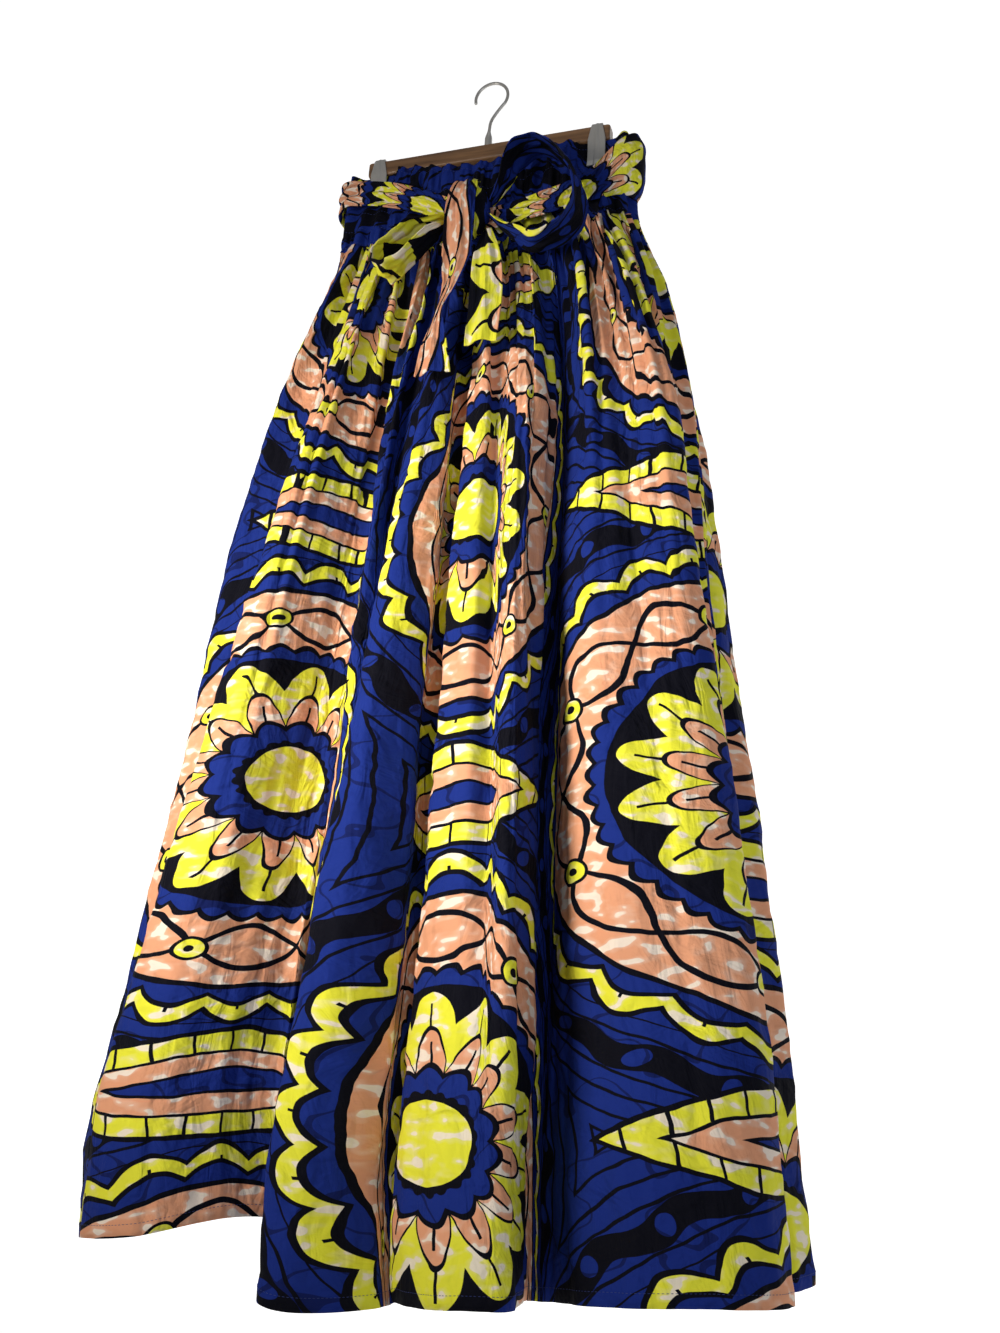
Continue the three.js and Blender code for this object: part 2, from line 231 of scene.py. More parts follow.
# Soft creases, listed one by one: across and drop of both ends (share of the panel, mm), depth
# outwards, width in mm and how far the middle bows aside in mm
creaseNames = "fromAlong fromDrop toAlong toDrop depth wide bow"
frontCreases = table(
    creaseNames,
    (0.045, 130, 0.03, 420, -3.2, 13, 6), (0.085, 120, 0.11, 610, 3.4, 15, -9),
    (0.13, 110, 0.125, 330, -3.6, 11, 4), (0.185, 140, 0.2, 540, 2.8, 12, 8),
    (0.225, 105, 0.25, 300, -4.2, 10, -5), (0.262, 150, 0.3, 700, 3.6, 16, 10),
    (0.315, 110, 0.345, 480, -4.5, 13, -6), (0.36, 120, 0.38, 380, 3.0, 10, 4),
    (0.405, 104, 0.42, 620, -3.4, 12, 8), (0.452, 130, 0.46, 340, 3.2, 10, -4),
    (0.49, 108, 0.505, 560, -4.2, 12, 7), (0.535, 120, 0.55, 820, 2.6, 17, -12),
    (0.575, 106, 0.572, 300, -3.4, 10, 3), (0.62, 125, 0.645, 500, 3.2, 13, 6),
    (0.66, 104, 0.675, 700, -4.4, 14, -9), (0.7, 130, 0.695, 420, 3.4, 11, 5),
    (0.742, 108, 0.76, 560, -3.2, 13, 8), (0.785, 116, 0.79, 360, 2.8, 11, -4),
    (0.825, 104, 0.85, 640, -2.6, 15, -10), (0.872, 120, 0.89, 430, 2.8, 13, 6),
    (0.915, 106, 0.93, 520, -3.0, 14, 8), (0.958, 126, 0.965, 400, 2.4, 11, -5),
    (0.1, 560, 0.085, 960, -2.4, 17, 10), (0.27, 640, 0.24, 1000, -2.6, 15, -8),
    (0.44, 620, 0.452, 980, 2.4, 14, 7), (0.525, 700, 0.54, 1010, -2.6, 16, 9),
    (0.625, 760, 0.64, 1015, 2.2, 17, -8), (0.78, 640, 0.77, 930, -1.8, 19, 10),
    (0.9, 720, 0.92, 1000, 1.8, 20, -9), (0.3, 120, 0.335, 760, -9, 13, 6),
    (0.395, 118, 0.41, 640, -8, 12, -5), (0.475, 112, 0.49, 700, -10, 12, 6),
    (0.569, 120, 0.594, 860, -13, 12, -6), (0.398, 330, 0.41, 900, -8, 9, 4),
    (0.164, 280, 0.152, 900, -7, 10, -4), (0.17, 116, 0.16, 560, -7, 12, 5),
    (0.71, 110, 0.7, 1018, -9, 14, 6), (0.705, 420, 0.694, 1030, -13, 13, -5),
    (0.483, 520, 0.49, 1030, -10, 13, 6), (0.352, 420, 0.36, 1030, -9, 14, -6),
    (0.4, 596, 0.455, 628, 2.7, 6, 3), (0.415, 640, 0.475, 660, -2.5, 6, -3),
    (0.43, 676, 0.49, 706, 2.7, 6, 4), (0.4, 716, 0.46, 728, -2.3, 5, 3),
    (0.44, 746, 0.5, 772, 2.3, 6, -3), (0.5, 640, 0.56, 664, -2.3, 6, 3),
    (0.51, 700, 0.565, 716, 2.2, 6, 3), (0.52, 772, 0.58, 802, -2.2, 6, 4),
    (0.14, 480, 0.2, 512, 2.5, 6, 4), (0.15, 540, 0.19, 556, -2.2, 5, -3),
    (0.57, 236, 0.62, 262, -2.5, 5, 3), (0.68, 300, 0.74, 322, 2.3, 6, -4),
    (0.8, 880, 0.88, 912, 2.0, 8, 6), (0.56, 900, 0.64, 930, -2.0, 8, 6),
    (0.84, 540, 0.9, 572, -2.0, 7, 5), (0.22, 700, 0.29, 748, 2.2, 5, 6),
    (0.2, 820, 0.28, 842, -2.4, 5, -5), (0.42, 812, 0.47, 866, 2.2, 5, 4),
    (0.51, 846, 0.57, 872, 2.4, 5, -4), (0.6, 560, 0.66, 604, 2.0, 5, 4),
    (0.61, 690, 0.67, 676, -2.2, 5, 3), (0.74, 770, 0.83, 806, 2.0, 6, -6),
    (0.72, 450, 0.8, 482, -2.2, 5, 4), (0.36, 500, 0.4, 530, 2.4, 5, -3),
    (0.06, 660, 0.13, 690, 2.2, 5, 4), (0.08, 840, 0.15, 828, -2.0, 6, 4),
    (0.34, 880, 0.4, 910, 2.2, 5, 3),
)
backCreases = table(
    creaseNames,
    (0.04, 120, 0.05, 380, -3.0, 12, 6), (0.09, 108, 0.1, 560, 3.4, 14, -8),
    (0.15, 120, 0.17, 340, -3.8, 11, 5), (0.2, 106, 0.21, 680, 3.2, 15, 9),
    (0.26, 130, 0.27, 420, -4.2, 12, -6), (0.31, 104, 0.32, 300, 3.0, 10, 4),
    (0.37, 118, 0.39, 600, -3.6, 14, 8), (0.43, 108, 0.44, 380, 3.4, 11, -5),
    (0.49, 126, 0.5, 760, -4.0, 15, 10), (0.55, 106, 0.55, 330, 3.0, 10, -4),
    (0.61, 116, 0.63, 540, -3.8, 13, 7), (0.67, 104, 0.67, 440, 3.2, 12, 5),
    (0.73, 128, 0.75, 660, -3.4, 14, -8), (0.79, 108, 0.8, 350, 3.0, 11, 4),
    (0.85, 116, 0.87, 590, -3.0, 13, 8), (0.91, 106, 0.92, 400, 2.8, 12, -5),
    (0.96, 120, 0.955, 480, -2.6, 12, 6), (0.14, 600, 0.12, 980, 2.4, 17, 9),
    (0.33, 660, 0.34, 1000, -2.6, 16, -8), (0.53, 700, 0.55, 1010, 2.2, 17, 9),
    (0.74, 640, 0.72, 960, -2.2, 16, 8), (0.88, 740, 0.9, 1005, 2.0, 18, -9),
    (0.3, 560, 0.37, 590, 2.3, 6, 4), (0.4, 640, 0.46, 664, -2.3, 6, -4),
    (0.6, 700, 0.66, 730, 2.2, 7, 5), (0.2, 820, 0.28, 846, -2.0, 8, 6),
    (0.78, 520, 0.84, 548, 2.2, 6, 4),
)

# Edges of broad folds that lean over: where (share of the panel), from what drop, half width
# and reach in mm
lipNames = "at atHem fromDrop half reach"
frontLips = table(
    lipNames,
    (0.68, 0.662, 260, 0.024, 17),
    (0.52, 0.525, 420, 0.02, -13),
    (0.395, 0.4, 380, 0.02, -9),
    (0.31, 0.325, 380, 0.02, 8),
    (0.165, 0.15, 240, 0.018, 7),
)
backLips = table(
    lipNames,
    (0.39, 0.42, 300, 0.022, 13),
    (0.65, 0.64, 280, 0.02, -11),
    (0.2, 0.21, 360, 0.02, 8),
)

# Unevenness of the hanging cloth: length across and down, and height, in mm
clothWaves = (
    (95, 620, 1.2), (58, 380, 1.0), (37, 240, 0.75), (23, 110, 0.45),
    (140, 95, 0.8), (74, 41, 0.5), (43, 27, 0.28),
)

sides = {
    1: {"folds": frontFolds, "hem": frontHem, "hidden": frontHidden, "creases": frontCreases},
    -1: {"folds": backFolds, "hem": backHem, "hidden": backHidden, "creases": backCreases},
}
sides[1].update(lips=frontLips, sag=skirtSize["frontSag"], print=printPlace["front"])
sides[-1].update(lips=backLips, sag=skirtSize["backSag"], print=printPlace["back"])


# Form of the hanging cloth. front is 1 for the front and -1 for the back


# A column of a table at each place, with a smooth curve through the rows
def fromTable(rows, key, column, place):
    keys, values = rows[key], rows[column]
    last = len(keys) - 1
    after = np.minimum(np.arange(last + 1) + 1, last)
    before = np.maximum(np.arange(last + 1) - 1, 0)
    slope = (values[after] - values[before]) / (keys[after] - keys[before])
    where = np.clip(place, keys[0], keys[-1])
    low = np.clip(np.searchsorted(keys, where) - 1, 0, last - 1)
    span = keys[low + 1] - keys[low]
    f = (where - keys[low]) / span
    start = (1 + 2 * f) * (1 - f) ** 2 * values[low] + f * (1 - f) ** 2 * span * slope[low]
    end = f * f * (3 - 2 * f) * values[low + 1]
    return start + end + f * f * (f - 1) * span * slope[low + 1]


def sectionAt(drop):
    return {column: fromTable(sections, "drop", column, drop) for column in sections}


# The plain outline of half the skirt from one side seam (0) to the other (1), and its
# outward direction
def outline(front, along, halfWide, endRound, bulge):
    corner = math.pi / 2 * endRound
    straight = 2 * (halfWide - endRound)
    run = along * (2 * corner + straight)
    left = run < corner
    right = run > corner + straight
    angle = np.where(left, math.pi + run / endRound, 1.5 * math.pi)
    angle = np.where(right, 1.5 * math.pi + (run - corner - straight) / endRound, angle)
    out = np.stack([np.cos(angle), np.sin(angle)], -1)
    middle = np.where(left, 0, np.where(right, straight, run - corner)) + endRound - halfWide
    stand = endRound + bulge * np.sin(math.pi * np.clip(along, 0, 1)) ** 2
    point = np.stack([middle, 0 * middle], -1) + out * stand[..., None]
    return front * point, front * out


# How far the large folds stand out, move the cloth along and lean aside
def largeFold(folds, firstSink, along, down):
    stops = [(0 * down, -firstSink, 0)]
    for row in zip(*folds.values()):
        ridgeTop, ridgeHem, rise, rightward, valleyTop, valleyHem, sink = row
        stops.append((mix(ridgeTop, ridgeHem, down), rise, rightward))
        stops.append((mix(valleyTop, valleyHem, down), -sink, -rightward))
    out, shift, side = 0 * along, 0 * along, 0 * along
    for i in range(len(stops) - 1):
        start, end = stops[i], stops[i + 1]
        span = end[0] - start[0]
        f = np.clip((along - start[0]) / span, 0, 1)
        eased = 0.5 - 0.5 * np.cos(math.pi * f)
        here = (along >= start[0]) | (i == 0)
        out = np.where(here, mix(start[1], end[1], eased), out)
        side = np.where(here, mix(start[2], end[2], eased), side)
        falling = 1 if i % 2 else -1
        shift = np.where(here, falling * span * np.sin(math.pi * f) / math.pi, shift)
    return out, shift, side


# The cloth's outer face at a share of the panel's width and a drop below the waist corners
def clothPoint(front, along, drop):
    size, side = skirtSize, sides[front]
    part = sectionAt(drop)
    down = np.clip((drop - size["casingTall"]) / (size["long"] - size["casingTall"]), 0, 1)
    firstSink = sides[-front]["folds"]["sink"][-1]
    out, foldShift, lean = largeFold(side["folds"], firstSink, along, down)
    uneven = 1 + 0.35 * np.sin(6 * math.pi * along)
    count = 2 * math.pi * size["mediumFolds"]
    mediumTurn = count * (along + 0.012 * np.sin(4 * math.pi * along))
    mediumShift = size["mediumPinch"] * part["medium"] * np.sin(mediumTurn) / (10 * count)
    shift = size["largePinch"] * part["large"] * foldShift + mediumShift
    shape = (part["halfWide"], part["endRound"], part["bulge"])
    point, outward = outline(front, along + shift, *shape)
    stand = part["large"] * out + part["medium"] * uneven * np.cos(mediumTurn)
    stand = stand + part["gather"] * np.cos(2 * math.pi * size["broadGathers"] * along)
    aside = np.stack([-outward[..., 1], outward[..., 0]], -1)
    point = point + outward * stand[..., None] + aside * (part["large"] * lean)[..., None]
    fromClip = (np.abs(point[..., 0] + part["midX"]) - size["clipX"]) / size["clipReach"]
    bite = 1 + (drop / size["clipBite"]) ** 6
    pinched = size["clipPinch"] * np.exp(-(fromClip**4)) / bite
    hem = fromTable(side["hem"], "at", "low", along) * down * down
    fromMiddle = np.minimum(1, np.abs(2 * along - 1) / size["sagSpan"])
    sag = side["sag"] * np.cos(math.pi / 2 * fromMiddle) ** 2
    height = size["waistTopZ"] - drop - sag - hem
    return np.stack([point[..., 0] + part["midX"], point[..., 1] * (1 - pinched), height], -1)


# Outward directions of a grid of points, rows from the top down, columns from left to right
def normals(points):
    across = np.gradient(points, axis=1)
    down = np.gradient(points, axis=0)
    normal = np.cross(down, across)
    return normal / np.maximum(np.linalg.norm(normal, axis=-1, keepdims=True), 1e-9)


# A closed shell from a grid of outer points in millimetres: thick is its thickness behind
def shellMesh(name, points, thick, uv, material):
    rows, columns = points.shape[:2]
    inner = points - normals(points) * thick
    vertices = np.concatenate([points.reshape(-1, 3), inner.reshape(-1, 3)]) * millimetre
    grid = np.arange(rows * columns).reshape(rows, columns)
    a, b, c, d = grid[:-1, :-1], grid[1:, :-1], grid[1:, 1:], grid[:-1, 1:]
    outer = np.stack([a, b, c, d], -1).reshape(-1, 4)
    back = np.stack([d, c, b, a], -1).reshape(-1, 4) + rows * columns
    edge = np.concatenate([grid[0, :], grid[1:, -1], grid[-1, -2::-1], grid[-2:0:-1, 0]])
    following = np.roll(edge, -1)
    behind = rows * columns
    rim = np.stack([edge, following, following + behind, edge + behind], -1)
    faces = np.concatenate([outer, back, rim]).tolist()
    return meshPiece(name, vertices, faces, material, np.concatenate([uv.reshape(-1, 2)] * 2))


# Fine form: gathers, creases, seams


# A slow uneven wave from -1 to 1 along the cloth
def wander(along, seed):
    parts = [(3.3, 0.5), (7.1, 0.3), (13.7, 0.2)]
    return sum(size * np.sin(2 * math.pi * count * along + seed * count) for count, size in parts)


# A value for each gather, eased from one gather to the next
def perGather(place, values):
    low = np.clip(np.floor(place).astype(int), 0, len(values) - 2)
    f = place - low
    return mix(values[low], values[low + 1], f * f * (3 - 2 * f))


# Gathers below a seam, each with its own depth and length: how far they stand out, and how
# far along the cloth the print moves, because their valleys hide some of it
def gathers(sizes, front, along, drop, topDrop):
    random = np.random.default_rng(sizes["seed"] + (front < 0))
    lean = 0.5 * wander(along, sizes["seed"]) * (drop - topDrop) / 400
    place = sizes["count"] * along + 1.5 * wander(along, 1.3 + front) + lean + 3
    number = sizes["count"] + 8
    depth = perGather(place, random.uniform(0.15, 1.6, number))
    length = perGather(place, random.uniform(sizes["shortest"], sizes["longest"], number))
    fade = np.exp(-((np.maximum(drop - topDrop, 0) / length) ** 1.5))
    rise = crest(place)
    stand = sizes["depth"] * depth * fade * (rise - 0.35 * (1 - rise) ** 2)
    hidden = -sizes["packed"] * fade * wave(place) / (2 * math.pi * sizes["count"])
    return stand, hidden


# How far the print moves along the cloth because the folds hide some of it
def foldHidden(front, along, drop):
    casingTall = skirtSize["casingTall"]
    down = np.clip((drop - casingTall) / (skirtSize["long"] - casingTall), 0, 1)
    total = 0 * along
    for top, hem, fromDrop, toDrop, hidden, half in zip(*sides[front]["hidden"].values()):
        at = mix(top, hem, down)
        begun = smooth(fromDrop - 130, fromDrop + 130, drop)
        strength = hidden * begun * (1 - smooth(toDrop - 150, toDrop + 100, drop))
        total = total + strength * (smooth(at - half, at + half, along) - along)
    return total


# How far the edges of the broad folds lean over the valleys beside them, left to right
def lipShift(front, along, drop):
    total = 0 * along
    for at, atHem, fromDrop, half, reach in zip(*sides[front]["lips"].values()):
        down = np.clip((drop - fromDrop) / (skirtSize["long"] - fromDrop), 0, 1)
        total = total + reach * down**0.7 * hump(along - mix(at, atHem, down), half)
    return total


# How far the listed creases stand out
def creases(front, along, drop):
    total = 0 * along
    wide = skirtSize["cutWide"]
    rows = zip(*sides[front]["creases"].values())
    for fromAlong, fromDrop, toAlong, toDrop, depth, width, bow in rows:
        start = np.array([fromAlong * wide, fromDrop])
        run = np.array([toAlong * wide, toDrop]) - start
        length = np.hypot(*run)
        x, y = along * wide - start[0], drop - start[1]
        f = (x * run[0] + y * run[1]) / length**2
        bowed = bow * np.sin(math.pi * np.clip(f, 0, 1))
        aside = (x * run[1] - y * run[0]) / length - bowed
        ends = smooth(-0.12, 0.2, f) * (1 - smooth(0.7, 1.12, f))
        total = total + depth * ends * hump(aside, width)
    return total


# Slight unevenness of hanging cloth, longer down the cloth than across it
def softWaves(along, drop, seed):
    total = 0 * along
    random = np.random.default_rng(seed)
    run = along * skirtSize["cutWide"]
    for across, down, height in clothWaves:
        turns = 2 * math.pi * (run / across + drop / down)
        back = 2 * math.pi * (run / (across * 1.31) - drop / (down * 0.83))
        first = np.sin(turns + random.uniform(0, 6.3))
        total = total + height * first * np.sin(back + random.uniform(0, 6.3))
    return total


# 1 where the sash lies on the cloth, 0 away from it
def sashCover(front, along, drop):
    best = 0 * along
    for turn in (along, along + 2) if front > 0 else (along + 1,):
        half = fromTable(sashRun, "turn", "half", turn)
        middle = fromTable(sashRun, "turn", "drop", turn)
        inside = (turn >= 0.5) & (turn <= 2.5)
        covered = 1 - smooth(half + 1, half + 14, np.abs(drop - middle))
        best = np.maximum(best, inside * covered)
    return best


# Places across and down a panel, a hair in from its seams
def panelGrid(topDrop, bottomDrop, columns, rows, crowding):
    u = np.linspace(0, 1, columns + 1)
    v = np.linspace(0, 1, rows + 1) ** crowding
    share, drop = np.meshgrid(u, mix(topDrop, bottomDrop, v))
    inset = skirtSize["seamGap"] / 4 / fromTable(sections, "drop", "halfWide", drop)
    return mix(inset, 1 - inset, share), drop


# Points across and down a panel, crowded towards the waist, and the turned hem in mm
panelRows = {"columns": 360, "rows": 128, "crowding": 1.25}
hemSize = {"edge": (10, 13), "raised": 0.5, "line": 13, "lineHalf": 2.5}


# A skirt panel and its outer points. Seams pull in, and the hem is turned up and stitched
def skirtPanel(name, front, material):
    size = skirtSize
    top = size["casingTall"] + size["seamGap"] / 2
    along, drop = panelGrid(top, size["long"], *panelRows.values())
    points = clothPoint(front, along, drop)
    free = 1 - 0.85 * sashCover(front, along, drop)
    fromSeam = np.minimum(along, 1 - along) * size["cutWide"]
    fine, fineHidden = gathers(gatherSizes, front, along, drop, 110)
    middle, middleHidden = gathers(middleGathers, front, along, drop, 110)
    lift = (fine + middle * smooth(95, 125, drop)) * free
    lift += creases(front, along, drop) * smooth(95, 150, drop)
    lift += softWaves(along, drop, 5 + front) * smooth(95, 140, drop)
    lift *= smooth(0, 12, fromSeam)
    lift -= 1.5 * hump(fromSeam, 5)
    fromHem = size["long"] - drop
    lift += hemSize["raised"] * (1 - smooth(*hemSize["edge"], fromHem))
    lift -= hemSize["raised"] * hump(fromHem - hemSize["line"], hemSize["lineHalf"])
    outward = normals(points)
    level = np.cross(np.array([0.0, 0.0, 1.0]), outward)
    shift = lipShift(front, along, drop)
    points = points + outward * lift[..., None] + level * shift[..., None]
    printAlong = along + fineHidden + middleHidden + foldHidden(front, along, drop)
    startX, startY = sides[front]["print"]
    uv = np.stack([startX + printAlong * size["cutWide"], startY - drop], -1)
    uv = uv * millimetre * printPlace["fine"]
    return shellMesh(name, points, size["clothThick"], uv, material), points


# A waist casing and its outer points, puffed between its rows of elastic
def casing(name, front, material):
    size = skirtSize
    bottom = size["casingTall"] - size["seamGap"] / 2
    along, drop = panelGrid(0, bottom, panelRows["columns"], 44, 1)
    points = clothPoint(front, along, drop)
    free = 1 - 0.9 * sashCover(front, along, drop)
    stops = np.array((-10,) + shirring["rows"] + (112,), float)
    band = np.clip(np.searchsorted(stops, drop) - 1, 0, len(stops) - 2)
    f = (drop - stops[band]) / (stops[band + 1] - stops[band])
    puff = np.sin(math.pi * f) ** 0.7
    uneven = 0.8 * wander(along, 1.3 + front) + 0.22 * np.sin(2.4 * band + 21 * along)
    place = gatherSizes["count"] * along + 2 + uneven
    random = np.random.default_rng(23 + front)
    depth = perGather(place, random.uniform(0.3, 1.4, 60))
    lift = shirring["gather"] * depth * crest(place) * (0.35 + 0.65 * puff)
    lift += shirring["puff"] * puff - 0.6
    grip = 1 - smooth(95, 106, np.abs(points[..., 0] - 2)) * smooth(0, 1, 70 - drop)
    lift *= free * (0.1 + 0.9 * grip) * (0.45 + 0.55 * smooth(0, 9, drop))
    lift *= smooth(0, 6, np.minimum(along, 1 - along) * size["waistWide"])
    points = points + normals(points) * lift[..., None]
    rise = shirring["rise"] * np.sin(math.pi * along) ** 2
    points[..., 2] += rise * (1 - smooth(0, 60, drop))
    across = (along + (front < 0)) * size["cutWide"] * 0.5
    uv = np.stack([drop + 533, across - 190], -1) * millimetre
    return shellMesh(name, points, size["casingThick"], uv, material), points


# Sash and bow, in millimetres

# The sash round the waist: panels from the front's left seam, drop of its middle and half width
sashRun = table(
    "turn drop half",
    (0.54, 90, 14),
    (0.7, 80, 15),
    (0.83, 62, 19),
    (0.93, 42, 33),
    (1.0, 33, 38),
    (1.1, 34, 32),
    (1.5, 44, 25),
    (1.9, 32, 21),
    (2.0, 27, 17),
    (2.1, 27, 15),
    (2.28, 46, 15),
    (2.46, 78, 14),
)

knotSize = {"x": 2, "drop": 90, "off": 19.5, "halfX": 24, "halfY": 15.5, "halfZ": 31}
rightLoop = table(
    "x drop off wide",
    (24.6, 82, 19.5, 11),
    (36, 60, 23, 28),
    (48, 33, 25, 38),
    (68, 24, 26, 42),
    (92, 38, 26, 42),
    (111, 70, 26, 42),
    (119, 106, 27, 42),
    (109, 140, 27, 42),
    (84, 152, 27, 40),
    (55, 132, 24, 32),
    (24.8, 99, 19.5, 11),
)
leftLoop = table(
    "x drop off wide",
    (-19.8, 102, 19.5, 11),
    (-30, 118, 23, 26),
    (-54, 156, 26, 36),
    (-68, 165, 27, 40),
    (-77, 153, 27, 40),
    (-74, 136, 27, 40),
    (-60, 117, 26, 38),
    (-42, 101, 23, 30),
    (-21.6, 91, 19.5, 11),
)
leftTail = table(
    "x drop off wide lean",
    (3, 55, 24, 18, 0),
    (3, 62, 35.5, 22, 1),
    (3, 75, 41.5, 25, 3),
    (2, 92, 41.5, 27, 5),
    (1, 114, 32, 28, 6),
    (0, 150, 20, 26, 4),
    (-3, 185, 15, 19, -24),
    (-9, 215, 14, 19, -42),
    (-8, 250, 14, 28, -16),
    (-3, 288, 14, 34, 6),
)
rightTail = table(
    "x drop off wide lean",
    (23, 114, 15, 13, -30),
    (29, 145, 16, 26, -8),
    (34, 185, 15, 30, 3),
    (37, 220, 14, 30, 7),
    (39, 258, 14, 30, 4),
)

sashSizes = {"lift": 5.0, "foldHeight": 3.2, "thick": 1.2}
# Where the sash bends round the right side, and over what share of a panel it is puffed there
sashBend = {"turn": 0.985, "half": 0.07, "puff": 5}


# The skirt's plain outline moved out by lift, at a count of panels from the front's left seam
def aroundPoint(turn, drop, lift):
    panel = np.floor(turn)
    front = np.where(panel % 2 == 0, 1.0, -1.0)
    part = sectionAt(drop)
    shape = (part["halfWide"] + lift, part["endRound"] + lift, part["bulge"])
    point, _ = outline(1, turn - panel, *shape)
    point = point * front[..., None]
    across = point[..., 0] + part["midX"]
    return np.stack([across, point[..., 1], skirtSize["waistTopZ"] - drop], -1)


# The sash round the waist: lengthwise pleats, slanting folds and uneven cross folds
def sashPiece(name, material):
    turns = np.linspace(sashRun["turn"][0], sashRun["turn"][-1], 421)
    turn, v = np.meshgrid(turns, np.linspace(0, 1, 41))
    half = fromTable(sashRun, "turn", "half", turn)
    drop = fromTable(sashRun, "turn", "drop", turn) + half * (2 * v - 1)
    slow = 0.5 * np.sin(3 * turn) + 0.3 * np.sin(11.3 * turn + 1) + 0.14 * np.sin(27 * turn)
    pleat = 0.5 - 0.5 * crest(2.1 * v + slow)
    slant = 4.1 * v - 3.7 * turn + 0.35 * np.sin(13 * turn + 4 * v)
    slanting = (0.5 - 0.5 * crest(slant)) ** 2 * (0.6 + 0.4 * np.sin(19 * turn + 2))
    uneven = 0.55 + 0.45 * np.sin(17 * turn + 1.3) * np.sin(7.7 * turn)
    bent = 6.7 * turn + 0.5 * np.sin(5 * v + 3 * turn) + 0.55 * np.sin(12.1 * turn) + 0.6 * v
    cross = wave(bent) * np.sin(math.pi * v) * uneven
    atBend = hump(turn - sashBend["turn"], sashBend["half"])
    calm = 1 - 0.85 * atBend
    puff = sashBend["puff"] * atBend * np.sin(math.pi * v) ** 0.7
    folds = sashSizes["foldHeight"] * pleat**1.5 + 1.9 * slanting
    lift = sashSizes["lift"] + folds * calm + puff + 1.7 * cross * calm
    roll = (1 - smooth(0, 0.2, v)) + (1 - smooth(0, 0.2, 1 - v))
    lift -= 3.2 * roll * smooth(14, 30, half)
    points = aroundPoint(turn, drop, lift)
    uv = np.stack([0.288 + 0.72 * turn, 0.19 - v * (0.07 + half * 0.001)], -1)
    return shellMesh(name, points, sashSizes["thick"], uv, material)


# Front of the skirt's plain outline at a drop, as a Y value
def frontFace(drop):
    part = sectionAt(drop)
    return -(part["endRound"] + part["bulge"] + 14 * part["large"] + part["medium"])


# A centripetal Catmull-Rom curve through points, at shares u of its rows
def centripetal(points, u):
    count = len(points) - 1
    place = np.clip(u, 0, 1) * count
    i = np.minimum(np.floor(place).astype(int), count - 1)
    f = (place - i)[:, None]
    ends = np.concatenate([[2 * points[0] - points[1]], points, [2 * points[-1] - points[-2]]])
    p0, p1, p2, p3 = (ends[i + step] for step in range(4))
    d0, d1, d2 = (
        np.maximum(np.linalg.norm(b - a, axis=1, keepdims=True) ** 0.5, 1e-4)
        for a, b in ((p0, p1), (p1, p2), (p2, p3))
    )
    start = ((p1 - p0) / d0 - (p2 - p0) / (d0 + d1) + (p2 - p1) / d1) * d1
    end = ((p2 - p1) / d1 - (p3 - p1) / (d1 + d2) + (p3 - p2) / d2) * d1
    passed = (2 * f**3 - 3 * f**2 + 1) * p1 + (3 * f**2 - 2 * f**3) * p2
    return passed + (f**3 - 2 * f**2 + f) * start + (f**3 - f**2) * end


# Middle, width and lean of a strip of the bow at shares u of its length
def stripMiddle(rows, u):
    depth = frontFace(rows["drop"]) - rows["off"]
    rowPoints = np.stack([rows["x"], depth, skirtSize["waistTopZ"] - rows["drop"]], -1)
    numbered = dict(rows, i=np.arange(len(rows["x"]), dtype=float))
    place = u * (len(rows["x"]) - 1)
    wide = fromTable(numbered, "i", "wide", place)
    lean = fromTable(numbered, "i", "lean", place) if "lean" in rows else 0 * u
    return centripetal(rowPoints, u), wide, np.radians(lean)


# Length of a strip's middle from its start to each of its points
def runLength(middle):
    steps = np.linalg.norm(np.diff(middle, axis=0), axis=1)
    return np.concatenate([[0], np.cumsum(steps)])


# A loop: its width runs front to back, and folds run out from the knot and fade
def loopPiece(name, rows, uvStart, uvRun, material, seed):
    u = np.linspace(0, 1, 181)
    middle, wide, _ = stripMiddle(rows, u)
    uu, v = np.meshgrid(u, np.linspace(0, 1, 37))
    points = np.repeat(middle[None], 37, 0).copy()
    points[..., 1] += wide[None] * (0.5 - v)
    points[..., 2] += 0.9 * np.sin(7 * math.pi * uu) * wave(v)
    fromKnot = np.minimum(uu, 1 - uu)
    gathered = hump(fromKnot, 0.2)
    folds = crest(3.4 * v + 0.3 * np.sin(9 * uu + seed))
    crumple = wave(1.3 * v + 6.1 * uu + seed) * wave(0.8 * v - 4.3 * uu)
    dents = wave(0.45 * v + 2.3 * uu + 0.3 * np.sin(7 * uu) + seed)
    bent = 1.6 * v + 3.7 * uu + 0.4 * np.sin(11 * uu + seed)
    crease = -np.abs(np.sin(math.pi * bent)) ** 0.6
    lift = (1.3 * gathered + 0.5) * folds * smooth(0, 0.06, fromKnot)
    lift += (1.1 * crumple + 2.8 * dents + 2.2 * crease + 1.4) * smooth(0.05, 0.22, fromKnot)
    points = points + normals(points) * lift[..., None]
    along = np.repeat(runLength(middle)[None], 37, 0) * millimetre
    aside = 0.06 * v
    printX = uvStart[0] + along * uvRun[0] - aside * uvRun[1]
    printY = uvStart[1] + along * uvRun[1] - aside * uvRun[0]
    uv = np.stack([printX, printY], -1)
    return shellMesh(name, points, sashSizes["thick"], uv, material)


